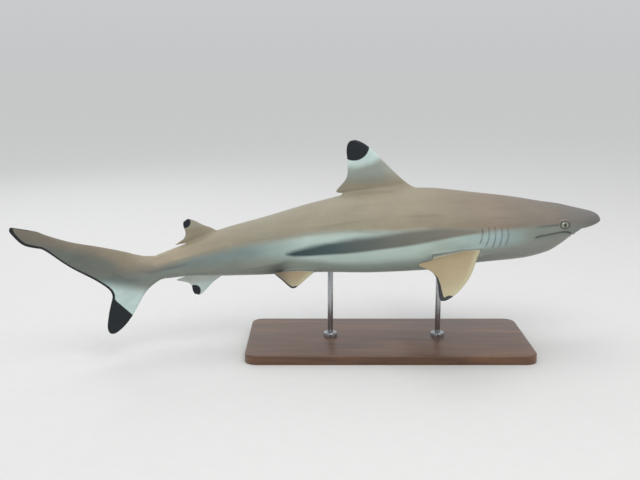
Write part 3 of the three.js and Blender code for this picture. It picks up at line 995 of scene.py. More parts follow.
@dataclass(frozen=True)
class SkinFinish:
    """Satin shark skin.

    Tints are display values, each met at a share of the total length. The soft edges of
    the tints are in millimetres before and past their lines.
    """

    back: Ramp = (
        (0.0, (101, 101, 101)), (0.1, (121, 113, 103)), (0.2, (136, 124, 108)),
        (0.34, (151, 142, 121)), (0.45, (152, 145, 125)), (0.58, (145, 139, 121)),
        (0.72, (151, 140, 118)), (0.92, (124, 117, 104)),
    )
    # pale flank band of the animal; its greyer ends at the head and the tail are painted shade
    pale: Ramp = (
        (0.05, (116, 120, 114)), (0.14, (132, 140, 130)), (0.19, (156, 176, 175)),
        (0.3, (182, 200, 193)), (0.5, (182, 200, 193)), (0.6, (124, 142, 140)),
        (0.75, (110, 120, 117)),
    )
    # painted shade: the lower flank, between the pale band and the white underside, greyer as if
    # out of the light from above
    low: Ramp = (
        (0.1, (134, 134, 128)), (0.4, (154, 168, 160)), (0.6, (136, 142, 132)),
        (0.75, (126, 132, 124)),
    )
    band: Ramp = (
        (0.22, (130, 126, 116)), (0.36, (108, 110, 102)), (0.46, (66, 84, 86)),
        (0.53, (44, 66, 70)),
    )
    underside: Tint = (188, 194, 188)
    dusk: Tint = (88, 104, 103)
    paired_fin: Tint = (158, 140, 110)
    fin_rim: Tint = (176, 171, 139)
    fin_below: Tint = (176, 180, 168)
    white: Tint = (196, 216, 212)
    black: Tint = (14, 22, 28)
    # colour of the painted shade in slits, grooves, pits and creases, and of the coat's faint dark
    # lines
    shade: Tint = (44, 48, 48)
    belly_shade_soft: Pair = (-13, 11)
    border_soft: Pair = (-9, 10)
    band_top_soft: Pair = (-5, 8)
    band_bottom_soft: Pair = (-2.5, 4)
    black_soft: Pair = (-0.8, 0.8)
    wander: float = 4.0
    band_bottom_wander: float = 0.15
    ragged: float = 0.2
    # the back darkens towards its midline: partly the animal's own darker back, partly painted
    # shade against the brighter light on top
    ridge: float = 0.88
    ridge_starts: Pair = (15, 80)
    clouds: Pair = (0.95, 1.05)
    freckles: Pair = (0.96, 1.04)
    streaks: Pair = (0.05, 0.1)
    streaks_grow: Pair = (0.5, 0.8)
    pore_shade: float = 0.16
    pores_end: Pair = (0.085, 0.05)
    # darkness of the painted shadow line round each paired fin's root
    root_shadow: float = 0.6
    roughness: Pair = (0.42, 0.54)
    gloss: float = 0.42

    def material(self) -> bpy.types.Material:
        """The skin's node material, driven by the attributes that the skin carries.

        Returns:
            The material.
        """
        s = Shader("shark_skin")
        # fold: painted shade of slits, grooves, pits, creases and eye rims, with the coat's faint
        # dark lines
        station, fold, wash = s.attribute("form")
        border, above_band, below_band = s.attribute("stripe")
        belly_shade_edge, underside, rim = s.attribute("belly")
        black, white, warm = s.attribute("tips")
        dusk = s.attribute("dusk")[0]
        spot = s.place()
        flow = s.flow("flow", (0.16, 1, 1))
        wander = s.spread(s.noise(flow, 30, 3), -self.wander, self.wander)
        ragged = s.spread(s.noise(spot, 330, 2), -self.ragged, self.ragged)

        back, pale, low, band = (
            s.ramp(station, [(p, paint(*c)) for p, c in stops])
            for stops in (self.back, self.pale, self.low, self.band)
        )
        # below its edge the lower flank takes the greyer low tints, which are painted shade
        body = s.mix(s.step(s.math("ADD", belly_shade_edge, wander), *self.belly_shade_soft), low, pale)
        body = s.mix(underside, body, paint(*self.underside))
        body = s.mix(s.step(s.math("ADD", border, wander), *self.border_soft), body, back)
        upper = s.step(s.math("ADD", above_band, wander), *self.band_top_soft)
        calm = s.math("MULTIPLY", wander, self.band_bottom_wander)
        lower = s.step(s.math("ADD", below_band, calm), *self.band_bottom_soft)
        body = s.mix(s.math("MULTIPLY", upper, lower), body, band)
        # darker towards the back's midline: partly the animal's own tone, partly painted shade
        body = s.tone(body, s.scale(border, *self.ridge_starts, 1.0, self.ridge))
        body = s.mix(dusk, body, paint(*self.dusk))
        fin = s.mix(rim, paint(*self.paired_fin), paint(*self.fin_rim))
        fin = s.mix(s.step(wash, 0.2, 0.8), fin, paint(*self.fin_below))
        body = s.mix(warm, body, fin)
        body = s.mix(white, body, paint(*self.white))

        clouds = s.spread(s.noise(spot, 16, 4, 0.6), *self.clouds)
        streaks = s.spread(s.noise(flow, 85, 4, 0.65), -1.0, 1.0)
        drawn = s.scale(station, *self.streaks_grow, *self.streaks)
        streaks = s.math("ADD", 1.0, s.math("MULTIPLY", streaks, drawn))
        freckles = s.spread(s.noise(spot, 420, 3, 0.7), *self.freckles)
        pores = s.step(s.cells(spot, 210), 0.16, 0.1)
        pores = s.math("MULTIPLY", pores, s.step(station, *self.pores_end))
        tone = s.math("MULTIPLY", s.math("MULTIPLY", clouds, streaks), freckles)
        tone = s.math("SUBTRACT", tone, s.math("MULTIPLY", pores, self.pore_shade))
        body = s.tone(body, tone)
        tipped = s.step(s.math("ADD", black, ragged), *self.black_soft)
        body = s.mix(tipped, body, paint(*self.black))
        # painted shadow: a thin dark line round each paired fin's root, where it meets the body
        root = s.math("MULTIPLY", s.step(warm, 0.0, 0.1), s.step(warm, 0.6, 0.15))
        fold = s.math("MAXIMUM", fold, s.math("MULTIPLY", root, self.root_shadow))
        # lay the painted shade and the faint dark lines in the shade colour
        body = s.mix(fold, body, paint(*self.shade))

        rough = s.spread(s.noise(spot, 90, 4, 0.6), *self.roughness)
        s.set(Base_Color=body, Roughness=rough, Specular_IOR_Level=self.gloss)
        s.bump(
            [
                (s.noise(flow, 60, 3), 0.0012, 0.14),
                (s.noise(spot, 380, 3, 0.6), 0.0004, 0.2),
                (s.math("SUBTRACT", 1.0, pores), 0.0003, 0.25),
                (s.cells(s.flow("flow", (0.6, 1, 1)), 1100), 0.0002, 0.25),
            ]
        )
        return s.material


@dataclass(frozen=True)
class EyeFinish:
    """Polished eye: pale iris, dark rim and an upright slit pupil."""

    iris: Tint = (140, 146, 124)
    iris_edge: Tint = (90, 94, 78)
    rim: Tint = (56, 56, 50)
    pupil: Tint = (9, 11, 11)
    iris_fades: Pair = (0.3, 0.78)
    rim_starts: Pair = (0.72, 0.8)
    rays: Pair = (0.86, 1.1)
    pupil_tall: float = 0.36
    pupil_bulge: float = 0.6
    pupil_soft: float = 0.012

    def material(self) -> bpy.types.Material:
        """The eye's node material, read from its own gaze directions.

        Returns:
            The material.
        """
        s = Shader("eye_gloss")
        along, upright, _ = s.attribute("gaze")
        flat = s.math("MULTIPLY", along, along)
        tall = s.math("MULTIPLY", upright, upright)
        radius = s.math("SQRT", s.math("ADD", flat, tall))
        rays = s.noise(s.place(), 1400, 2, 0.6)
        fade = s.step(radius, *self.iris_fades)
        iris = s.mix(fade, paint(*self.iris), paint(*self.iris_edge))
        iris = s.tone(iris, s.spread(rays, *self.rays))
        slit = s.math("ABSOLUTE", along)
        bulge = s.math("SUBTRACT", self.pupil_tall, tall)
        bulge = s.math("MULTIPLY", bulge, self.pupil_bulge)
        pupil = s.step(s.math("SUBTRACT", bulge, slit), -self.pupil_soft, self.pupil_soft)
        colour = s.mix(s.step(radius, *self.rim_starts), iris, paint(*self.rim))
        colour = s.mix(pupil, colour, paint(*self.pupil))
        s.set(Base_Color=colour, Roughness=0.12, Coat_Weight=1.0, Coat_Roughness=0.03)
        s.bump([(rays, 0.0001, 0.08)])
        return s.material


@dataclass(frozen=True)
class WalnutFinish:
    """Dark walnut with an open grain along the base, under satin lacquer."""

    light: Tint = (122, 86, 58)
    middle: Tint = (92, 61, 40)
    dark: Tint = (58, 38, 26)

    def material(self) -> bpy.types.Material:
        """The wood's node material.

        Returns:
            The material.
        """
        s = Shader("walnut_satin")
        sweep = s.noise(s.place((0.5, 5, 5)), 5, 4, 0.55, 1.2)
        fibre = s.noise(s.place((2, 60, 60)), 12, 4, 0.7)
        pores = s.noise(s.place((6, 160, 160)), 9, 2, 0.4)
        grain = s.math("ADD", s.math("MULTIPLY", sweep, 0.72), s.math("MULTIPLY", fibre, 0.28))
        colour = s.ramp(
            grain,
            [(0.3, paint(*self.dark)), (0.5, paint(*self.middle)), (0.72, paint(*self.light))],
        )
        dark_pores = s.step(pores, 0.36, 0.28)
        colour = s.mix(s.math("MULTIPLY", dark_pores, 0.55), colour, paint(*self.dark))
        s.set(Base_Color=colour, Roughness=s.spread(fibre, 0.32, 0.44))
        s.set(Coat_Weight=0.25, Coat_Roughness=0.22)
        s.bump([(fibre, 0.0003, 0.12), (pores, 0.0002, 0.1)])
        return s.material


@dataclass(frozen=True)
class SteelFinish:
    """Brushed stainless steel, the brushing along Z or round it."""

    name: str = "steel_brushed"
    stretch: tuple[float, float, float] = (1, 1, 0.02)
    tint: Tint = (176, 178, 181)

    def material(self) -> bpy.types.Material:
        """The metal's node material.

        Returns:
            The material.
        """
        s = Shader(self.name)
        lines = s.noise(s.place(self.stretch), 1500, 3, 0.6)
        smudge = s.noise(s.place(), 45, 3, 0.5)
        tint = s.tone(paint(*self.tint), s.spread(lines, 0.88, 1.06))
        rough = s.math("ADD", s.spread(lines, 0.2, 0.3), s.spread(smudge, 0.0, 0.08))
        s.set(Base_Color=tint, Metallic=1.0, Roughness=rough)
        s.bump([(lines, 0.0001, 0.12)])
        return s.material


# ------ eyes
@dataclass
class Eyes:
    """Both eyeballs: place on the head, and half sizes of the ball and of its opening.

    The groove round the iris is in shares of the ball's half sizes.
    """

    trunk: Trunk
    station: float = 8.1
    angle: float = 9.0
    half_along: float = 13 * MM
    half_across: float = 10 * MM
    half_upright: float = 10.5 * MM
    sunk: float = 7.2 * MM
    opening_along: float = 10.7 * MM
    opening_upright: float = 8.3 * MM
    groove: float = 0.025
    groove_ring: float = 0.84
    groove_width: float = 0.05
    finish: EyeFinish = field(default_factory=EyeFinish)

    def basis(self, side: Side) -> tuple[Array, ...]:
        """Skin point of the eye, and the directions along, up and out of the head."""
        return self.trunk.facing(self.station, self.angle, side)

    def local(self, points: Array, side: Side) -> Array:
        """Places of points in the eye's own directions, from its skin point."""
        skin, along, upright, outward = self.basis(side)
        return (points - skin) @ np.stack([along, upright, outward], axis=1)

    def ring(self, along: Array, upright: Array) -> Array:
        """Rings round the eye, 1 being the edge of the opening between the lids."""
        return np.hypot(along / self.opening_along, upright / self.opening_upright)

    def ball_height(self, along: Array, upright: Array) -> Array:
        """How far the eyeball's surface stands out from the skin point."""
        left = 1 - (along / self.half_along) ** 2 - (upright / self.half_upright) ** 2
        return self.half_across * np.sqrt(np.maximum(left, 0)) - self.sunk

    def build(self) -> list[Piece]:
        """Model the two eyeballs, each a ball with a shallow groove round its iris.

        Returns:
            The two pieces.
        """
        made = []
        for side in Side:
            Bench.clear()
            bpy.ops.mesh.primitive_uv_sphere_add(segments=64, ring_count=40, radius=1)
            piece = Bench.take(f"eyeball_{side.name.lower()}")
            local = corners_of(piece.data)
            radius = np.hypot(local[:, 0], local[:, 1])
            groove = self.groove * bell(radius - self.groove_ring, self.groove_width)
            groove = groove * (local[:, 2] > 0)
            local *= (1 - groove)[:, None]
            skin, along, upright, outward = self.basis(side)
            sizes = (self.half_along, self.half_upright, self.half_across)
            places = skin - outward * self.sunk
            for k, (axis, size) in enumerate(zip((along, upright, outward), sizes)):
                places = places + np.outer(local[:, k] * size, axis)
            set_corners(piece.data, places)
            write_attribute(piece.data, "gaze", [local[:, 0], local[:, 1], local[:, 2]])
            Bench.finish(piece)
            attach(piece, BODY)
            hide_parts(f"eye_{side.name.lower()}")
            made.append(piece)
        return made

    def dress(self, pieces: Sequence[Piece]) -> None:
        """Give the eyeballs their gloss."""
        material = self.finish.material()
        for piece in pieces:
            piece.data.materials.append(material)


# ------ skin
@dataclass(frozen=True)
class Mouth:
    """The closed mouth. Its lines hold (station, angle), from the corner to the chin."""

    line: Path = (
        (13.1, -8.6), (12.2, -7.6), (10.3, -6.8), (9.0, -6.6), (8.1, -8.5),
        (7.3, -14), (6.75, -28), (6.3, -46), (6.0, -66), (5.9, -90),
    )
    furrow: Path = ((13.1, -8.6), (12.5, -5.8), (11.9, -4.6))
    ends: float = 16.5
    groove: float = 2.4 * MM
    groove_width: float = 1.6 * MM
    furrow_depth: float = 0.9 * MM
    furrow_width: float = 1.0 * MM
    lip: float = 0.7 * MM
    lip_place: float = 3.2 * MM
    lip_width: float = 1.8 * MM
    upper_lip_share: float = 0.6
    inset: float = 1.3 * MM
    inset_reach: float = 14 * MM
    jaw_step: float = 1.2 * MM
    # painted shade along the mouth's groove and in its corner furrow
    line_shades: Path = ((0.72, 1.3 * MM), (0.28, 3.6 * MM))
    furrow_shade: float = 0.5
    shade: float = 0.8
    fine_ends: float = 16.0
    fine_reach: float = 6.5 * MM


@dataclass(frozen=True)
class Gills:
    """Five slits on each side, with the station of each at its middle."""

    first: float = 17.9
    pitch: float = 1.02
    tops: tuple[float, ...] = (11, 13, 14, 14, 13)
    bottoms: tuple[float, ...] = (-18, -20, -20, -16, -11)
    fades: Fades = (-0.03, 0.14, 0.86, 1.03)
    lean: float = -0.55
    bow: float = -0.25
    depth: float = 2.8 * MM
    width: float = 1.0 * MM
    front_slope: float = 0.6
    flap: float = 1.3 * MM
    flap_share: float = 0.9
    # painted shade in the slits, paler towards their upper ends
    upper_paling: float = 0.72
    shade: float = 0.55
    shade_starts: Pair = (17, 17.5)
    ends: float = 23.4
    fine_stations: Pair = (17.2, 22.6)
    fine_angles: Pair = (-28, 22)


@dataclass(frozen=True)
class Nostrils:
    """Slanting slots under the snout, each with a small flap across it."""

    station: float = 4.5
    angle: float = -38
    ends: float = 9.0
    half_length: float = 8.0 * MM
    half_width: float = 2.7 * MM
    slant: float = 35.0
    depth: float = 4.6 * MM
    flap: float = 2.4 * MM
    flap_place: Pair = (-2.4 * MM, -1.2 * MM)
    flap_size: Pair = (2.0 * MM, 1.6 * MM)
    # painted shade in each nostril's pit, lighter on its flap
    flap_paling: float = 0.75
    shade: float = 0.85
    skin_reach: float = 9 * MM
    fine_reach: float = 11 * MM


@dataclass(frozen=True)
class Lids:
    """Lids round each eyeball, placed by rings, 1 being the edge of the opening."""

    ends: float = 2.6
    reach: float = 12 * MM
    thickness: float = 1.25 * MM
    brow: float = 0.5 * MM
    drawn: Pair = (1.0, 1.55)
    form_share: float = 0.35
    swell_ring: float = 1.22
    swell_width: float = 0.14
    swell: float = 0.35 * MM
    furrow_ring: float = 1.75
    furrow_width: float = 0.24
    furrow: float = 0.5 * MM
    tucked: Pair = (0.9, 1.01)
    tuck: float = 1.4 * MM
    # darkness at the lid's edge and round it: the eye's dark rim, partly painted shade where the
    # lid tucks in
    edge_ring: float = 0.99
    edge_width: float = 0.05
    edge_shade: float = 0.5
    shaded: Pair = (1.05, 1.35)
    shade: float = 0.16
    darkest: float = 0.75
    fine_rings: Pair = (0.82, 1.16)
    fine_reach: float = 8 * MM
    near_eye: float = 18 * MM
    round_eye: float = 27 * MM


@dataclass(frozen=True)
class Pit:
    """A short notch across the tail stalk, which shows past two heights in percent."""

    station: float
    depth: float
    width: float
    heights: Pair


@dataclass(frozen=True)
class TailStalk:
    """Folds of the tail: pits before the fin, a crease on the flank, a fold on the lobe."""

    upper_pit: Pit = Pit(station=74.9, depth=1.9 * MM, width=3.0 * MM, heights=(0.9, 1.9))
    lower_pit: Pit = Pit(station=74.7, depth=0.9 * MM, width=3.5 * MM, heights=(0.6, 1.4))
    pit_half_width: float = 12 * MM
    pit_bow: float = 0.5
    crease: Path = ((69, 0.2), (72, 0.0), (75, 0.1), (77, 0.2), (79.2, 0.6))
    crease_fades: Fades = (69.5, 73, 77, 80)
    crease_depth: float = 0.9 * MM
    crease_width: float = 3.2 * MM
    # painted shade in the crease
    crease_shade: float = 0.26
    fold: Path = ((79.2, -0.8), (80.6, -0.3), (81.8, 0.5), (83.0, 1.5))
    fold_stations: Pair = (77, 86)
    fold_depth: float = 0.7 * MM
    fold_width: float = 3.0 * MM
    # painted shade in the fold
    fold_shade: float = 0.22


@dataclass(frozen=True)
class FaintLine:
    """A soft line along the flank, through (station, angle), its width in millimetres."""

    path: Path
    darkness: float
    width: float
    fades: Fades
    above: float = 0.0

    def shade(self, stations: Array, turn: Array, radius: Array) -> Array:
        """How dark the line makes the skin."""
        past = (turn - table(stations, self.path)) * radius - self.above
        return self.darkness * bell(past, self.width) * between(stations, self.fades)


BORDER: Path = (
    (0, -100), (0.8, -60), (1.6, -18), (4, 0), (8, 8), (12, 10.5), (16, 8), (20, 7), (25, 9),
    (31, 11), (36, 10.5), (39, 13), (42.5, 16.5), (50, 19), (57, 18), (63, 15), (70, 17), (77, 12),
)
PELVIC_LINE: Path = ((52.5, -17), (56, -27), (63, -40))


@dataclass(frozen=True)
class Markings:
    """Lines of the coat.

    Lines along the flank hold (station, angle round the section), and lines of the fins
    (station, height). Circles hold a radius too, in percent, and margins hold a width in
    millimetres. Zones hold two stations.
    """

    border: Path = BORDER
    band_top: Path = (
        (20, 8), (25, 15), (30, 17), (36, 13.5), (40, 11), (47, 6.5), (50, 3.5), (52.4, -1),
        (53.9, -7), (54.6, -14),
    )
    band_bottom: Path = (
        (20, 7.5), (25, 3), (30, -2), (36, -7), (44, -12), (50, -13.5), (52.4, -12.5), (53.9, -9),
        (54.6, -2),
    )
    band_zone: Pair = (21, 56)
    # angles below which the lower flank takes its painted shade
    belly_shade_edge: Path = (
        (0, -30), (10, -16), (20, -14), (25, -16), (31, -26), (45, -30), (49, -22), (53, -12),
        (58, -6), (70, -8),
    )
    underside: Pair = (52, 78)
    underside_starts: Pair = (0.4, 2.4)
    tail_starts: Pair = (75, 78.5)
    faint_lines: tuple[FaintLine, ...] = (
        FaintLine(((14, 27), (30, 31), (50, 27), (75, 22)), 0.16, 0.9, (13, 17, 72, 76)),
        FaintLine(((8.9, 11.5), (10.5, 10.8), (13.2, 9.4)), 0.55, 2.8, (8.6, 9.6, 11.6, 13.9)),
        FaintLine(PELVIC_LINE, 0.34, 2.0, (52.5, 54.5, 57, 65)),
        FaintLine(BORDER, 0.14, 3.0, (35, 40, 54, 62), above=2),
    )
    # painted shadow along the pectoral fin's root, above and behind it
    pectoral_root_shadow: Path = (
        (22.2, -30), (23, -21), (25, -17), (27, -21), (29.5, -30), (31.5, -36),
    )
    pectoral_root_shadow_zone: Pair = (20, 34)
    pectoral_root_shadow_width: float = 2.2 * MM
    pectoral_root_shadow_darkness: float = 0.4
    patch_station: float = 55.6
    patch_width: float = 1.9
    patch_top: Pair = (-3, 2)
    patch_bottom: Pair = (-85, -60)
    patch_shade: float = 0.55
    first_dorsal_zone: Pair = (30, 46)
    first_dorsal_black: tuple[float, float, float] = (41.2, 15.7, 2.6)
    first_dorsal_white: Path = ((37.0, 12.4), (38.4, 11.65), (40.8, 11.15), (42.6, 11.3))
    first_dorsal_soft: Pair = (-0.3, 1.6)
    first_dorsal_root: float = 8.5
    first_dorsal_paling: Pair = (8.7, 11.5)
    first_dorsal_pale: float = 0.25
    first_dorsal_dusk: Fades = (8.6, 10.2, 12.4, 14.2)
    first_dorsal_dusk_starts: Pair = (34.5, 38)
    first_dorsal_grey: float = 0.42
    second_dorsal_zone: Pair = (66, 72)
    second_dorsal_black: tuple[float, float, float] = (69.6, 6.5, 0.95)
    second_dorsal_white: Pair = (4.9, 5.6)
    second_dorsal_pale: float = 0.12
    anal_zone: Pair = (65, 73)
    anal_black: tuple[float, float, float] = (70.2, -5.3, 1.05)
    anal_white: Pair = (3.6, 4.5)
    anal_pale: float = 0.7
    pectoral_margin: Path = ((4, -1), (6, 2.2), (9, 5), (14, 9))
    pelvic_margin: Path = ((0, 1), (2, 2.6), (3, 3.6))
    tail_margin: Path = ((80, 5), (84, 4.2), (91, 3.4), (93, 4.5), (96, 6))
    tail_tip_margin: float = 9.0
    upper_edge_margin: float = 1.4
    lower_lobe_black: Path = ((83.4, -3.0), (81.1, -6.4))
    lower_lobe_white: Path = ((83.2, 0.2), (78.1, -2.1))
    lower_lobe_soft: Pair = (-0.4, 1.9)
    tail_dusk: Path = ((79, 1.4), (84, 5.0), (90, 8.2), (97, 12))
    tail_dusk_soft: Pair = (-0.5, 1.4)
    tail_dusk_starts: Pair = (78.5, 84)
    tail_grey: float = 0.62


@dataclass(frozen=True)
class PairedFinTones:
    """Where a paired fin changes its tones, in millimetres, heights of the span as shares."""

    across: float = 16.0
    rim: Pair = (1.0, 13.0)
    rim_share: float = 0.85
    outer_starts: float = 0.3
    outer_share: float = 0.6
    below: Pair = (-0.5, 0.9)
    root: Pair = (1.0, 9.0)
    root_below: float = 7.0


@dataclass
class Skin:
    """One closed skin over head, trunk, tail and every fin."""

    trunk: Trunk
    eyes: Eyes
    mouth: Mouth = Mouth()
    gills: Gills = Gills()
    nostrils: Nostrils = Nostrils()
    lids: Lids = Lids()
    tail: TailStalk = TailStalk()
    markings: Markings = Markings()
    fin_tones: PairedFinTones = PairedFinTones()
    finish: SkinFinish = field(default_factory=SkinFinish)
    columns: int = 64
    spacing: Path = (
        (0, 3.0), (13, 3.3), (17, 3.6), (24, 3.8), (27, 5.4), (31, 7.2), (34, 9.6), (45, 9.6),
        (48, 6.8), (55, 6.8), (57, 9.6), (61, 9.6), (63, 6.0), (73, 6.0), (75.5, 5.0),
    )
    head_ends: Pair = (20.9, 21.5)
    upper_head_ends: Pair = (23.4, 24.2)
    above_pectoral: Pair = (-14, -9)
    snout_drawn: float = 0.6 * MM
    snout_ends: float = 6.0
    clearance: float = 0.01 * MM
    replaced: tuple[str, ...] = (
        "head", "lower_jaw", "trunk_front", "trunk_rear", "tail_stalk",
        "caudal_fin_lower_lobe", "caudal_fin_upper_lobe",
        "first_dorsal_fin", "second_dorsal_fin", "anal_fin",
        "pectoral_fin_left", "pectoral_fin_right", "pelvic_fin_left", "pelvic_fin_right",
    )

    # ------ net of rings
    def ring_stations(self) -> Array:
        """Stations of the body's rings, spaced along the skin as the spacing table says.

        Returns:
            The stations, from the snout's tip to the end of the tail stalk.
        """
        fine = np.linspace(0, self.trunk.END, SAMPLES)
        wide = self.trunk.size(fine, 3)
        run = np.hypot(np.diff(fine), np.diff(wide)) * PERCENT / MM
        share = run / table((fine[:-1] + fine[1:]) / 2, self.spacing)
        along = np.concatenate([[0], np.cumsum(share)])
        count = int(round(along[-1]))
        return np.interp(np.linspace(0, along[-1], count + 1), along, fine)

    def column_angles(self) -> Array:
        """Angle of each column round the section, the first on the back."""
        return 90 - 360 * np.arange(self.columns) / self.columns

    def start(self) -> Piece:
        """Add the disc of the snout's tip and number its columns and rings.

        Returns:
            The piece, in edit mode with its rim selected.
        """
        Bench.clear()
        bpy.ops.mesh.primitive_circle_add(
            vertices=self.columns, radius=1, fill_type="TRIFAN", calc_uvs=False
        )
        piece = Bench.take("shark_skin")
        mesh = Bench.edit(piece)
        column = mesh.verts.layers.int.new("column")
        mesh.verts.layers.int.new("ring")
        for v in mesh.verts:
            turn = math.atan2(v.co.x, v.co.y) / (2 * math.pi) * self.columns
            v[column] = round(turn) % self.columns
            v.select = v.co.length > 0.5
            if not v.select:
                v.co = self.trunk.axis.origin(np.array([0.0]))[0]
        mesh.select_flush(True)
        return piece

    @staticmethod
    def extrude(piece: Piece) -> bmesh.types.BMesh:
        """Extrude what is selected without moving it, and return the mesh."""
        bpy.ops.mesh.extrude_region_move(TRANSFORM_OT_translate={"value": (0, 0, 0)})
        return bmesh.from_edit_mesh(piece.data)

    @staticmethod
    def settle(mesh: bmesh.types.BMesh, ring: int, places: Array) -> None:
        """Put the selected loop on its ring's places, column by column.

        Args:
            mesh: the mesh in edit mode.
            ring: number of the ring.
            places: one place for each column.
        """
        column, rings = mesh.verts.layers.int["column"], mesh.verts.layers.int["ring"]
        for v in mesh.verts:
            if v.select:
                v[rings] = ring
                v.co = places[v[column]]

    def tail_fin_places(self, share: float) -> Array:
        """Places of one loop of the tail fin.

        Args:
            share: share of the fin's ribs, 0 at its root and 1 at its upper tip.

        Returns:
            One place for each column.
        """
        form, trunk = TAIL_FIN, self.trunk
        end = np.full(self.columns, trunk.END)
        lateral, height = trunk.section(end, self.column_angles())
        back, belly = trunk.size(end, 1), trunk.size(end, 2)
        down = (back - height) / (back + belly)
        top, bottom = form.ribs.at(share)
        core = form.core * (1 - share) ** form.core_taper
        web = form.web * (1 - share) + EDGE_THICKNESS / 2
        blade = core * foil(np.minimum(1, down / (2 * form.core_depth)))
        blade += web * np.sin(np.pi * np.minimum(0.5, down * 2)) * (1 - form.web_taper * down)
        thinning = ease(np.array(share / form.root_share))
        offset = np.abs(lateral) * (1 - thinning) + blade * thinning
        sign = np.where(np.abs(lateral) < 1e-9, 0, np.sign(lateral))
        point = top[None] * (1 - down[:, None]) + bottom[None] * down[:, None]
        return trunk.axis.place(point[:, 0], offset * sign, point[:, 1])

    def loft_body(self, piece: Piece) -> Array:
        """Extrude the disc ring by ring over the body, then on over the tail fin.

        Args:
            piece: the skin in edit mode.

        Returns:
            Stations of the body's rings.
        """
        stations = self.ring_stations()
        angles = self.column_angles()
        mesh = bmesh.from_edit_mesh(piece.data)
        for number, station in enumerate(stations[1:], start=1):
            if number > 1:
                mesh = self.extrude(piece)
            places = self.trunk.surface(np.full(self.columns, station), angles)
            self.settle(mesh, number, places)
        last = len(stations) - 1
        for k in range(1, TAIL_FIN.loops + 1):
            mesh = self.extrude(piece)
            self.settle(mesh, last + k, self.tail_fin_places(k / TAIL_FIN.loops))
        self.extrude(piece)
        bpy.ops.mesh.merge(type="CENTER")
        return stations

    # ------ fins
    def fin_places(
        self, form: FinForm, span: float, rows: int, side: Side
    ) -> Callable[[int, int], Array]:
        """Where a fin's loop lies at a share of its span.

        Args:
            form: the fin.
            span: share of the span, from root to tip.
            rows: how many rings of the net the fin's base covers.
            side: side of a paired fin.

        Returns:
            A function of row and column offset that gives the place.
        """
        leading, trailing = form.ribs.at(span)
        slim = TIP_SHARE + (1 - TIP_SHARE) * (1 - span) ** SPAN_TAPER
        if form.plane is not None:
            origin, chordwise, spanwise, across = form.plane.basis(self.trunk, side)

        def where(row: int, offset: int) -> Array:
            """Place of one vertex of the loop.

            Args:
                row: row of the fin, from its leading edge.
                offset: column, counted from the middle one.

            Returns:
                The place, in millimetres.
            """
            out = offset / form.half_columns
            chord = (1 - math.cos(math.pi * row / (rows - 1))) / 2
            if row == 0:
                chord = NOSE_ROUNDING * out * out
            half = EDGE_THICKNESS / 2 * min(1.0, 3 * chord)
            half += form.thickness / 2 * slim * float(foil(np.array(chord)))
            x, y = leading + (trailing - leading) * chord
            if form.plane is None:
                sign = -1 if form.underside else 1
                at = np.array([x])
                return self.trunk.axis.place(at, np.array([half * out * sign]), np.array([y]))[0]
            return (
                origin + chordwise * x * PERCENT + spanwise * y * PERCENT + across * half * out
            )

        return where

    def grow_fin(self, piece: Piece, stations: Array, form: FinForm, side: Side) -> None:
        """Extrude a block of the body's faces out into a fin.

        Args:
            piece: the skin in edit mode.
            stations: stations of the body's rings.
            form: the fin.
            side: side of a paired fin.
        """
        mesh = Bench.edit(piece)
        column, ring = mesh.verts.layers.int["column"], mesh.verts.layers.int["ring"]
        first, last = (int(np.searchsorted(stations, end)) for end in form.base)
        middle = form.centre_column
        if side is Side.RIGHT and form.plane is not None:
            middle = self.columns - middle
        half = self.columns // 2

        def offset(v: bmesh.types.BMVert) -> int:
            """Columns from the fin's middle column."""
            return (v[column] - middle + half) % self.columns - half

        for face in mesh.faces:
            inside = all(
                first <= v[ring] <= last and abs(offset(v)) <= form.half_columns
                for v in face.verts
            )
            face.select_set(inside)
        rows = last - first + 1
        for span in np.linspace(form.first_span, 1, form.loops):
            mesh = self.extrude(piece)
            column, ring = mesh.verts.layers.int["column"], mesh.verts.layers.int["ring"]
            where = self.fin_places(form, float(span), rows, side)
            for v in mesh.verts:
                if v.select:
                    v.co = where(v[ring] - first, offset(v))

    # ------ refinement
    @staticmethod
    def refine(piece: Piece, chosen: Callable[[Array], Array]) -> None:
        """Halve the faces whose corners all pass a test of their places.

        Args:
            piece: the skin.
            chosen: says of each place in an array whether it passes.
        """
        mesh = Bench.edit(piece)
        mesh.verts.ensure_lookup_table()
        passed = chosen(np.array([v.co for v in mesh.verts]))
        for v, ok in zip(mesh.verts, passed):
            v.select = bool(ok)
        mesh.select_flush(True)
        bpy.ops.mesh.subdivide(number_cuts=1, smoothness=0)
        bpy.ops.object.mode_set(mode="OBJECT")

    def eye_gap(self, places: Array) -> Array:
        """Distance of each place from the nearer eye's skin point."""
        return np.minimum(
            *(np.linalg.norm(places - self.eyes.basis(side)[0], axis=1) for side in Side)
        )

    def on_lids(self, places: Array) -> Array:
        """Which places lie on the rim of either eye's opening.

        Args:
            places: the skin's vertices.

        Returns:
            One truth value for each place.
        """
        rims = []
        for side in Side:
            along, upright, out = self.eyes.local(places, side).T
            ring = self.eyes.ring(along, upright)
            rims.append(within(ring, *self.lids.fine_rings) & (abs(out) < self.lids.fine_reach))
        return rims[0] | rims[1]

    def near_features(self, places: Array) -> Array:
        """Which places lie near the gills, the mouth, the nostrils or the eyes.

        Args:
            places: the skin's vertices.

        Returns:
            One truth value for each place.
        """
        stations, angle = self.trunk.flank(places)
        gills = within(stations, *self.gills.fine_stations)
        gills &= within(angle, *self.gills.fine_angles)
        head = stations < self.mouth.fine_ends
        fine = np.zeros(len(places), bool)
        fine[head] = (
            (np.abs(self.mouth_distance(places[head])) < self.mouth.fine_reach)
            | (np.abs(self.nostril_places(places[head])).max(axis=1) < self.nostrils.fine_reach)
            | (self.eye_gap(places[head]) < self.lids.round_eye)
        )
        return gills | fine

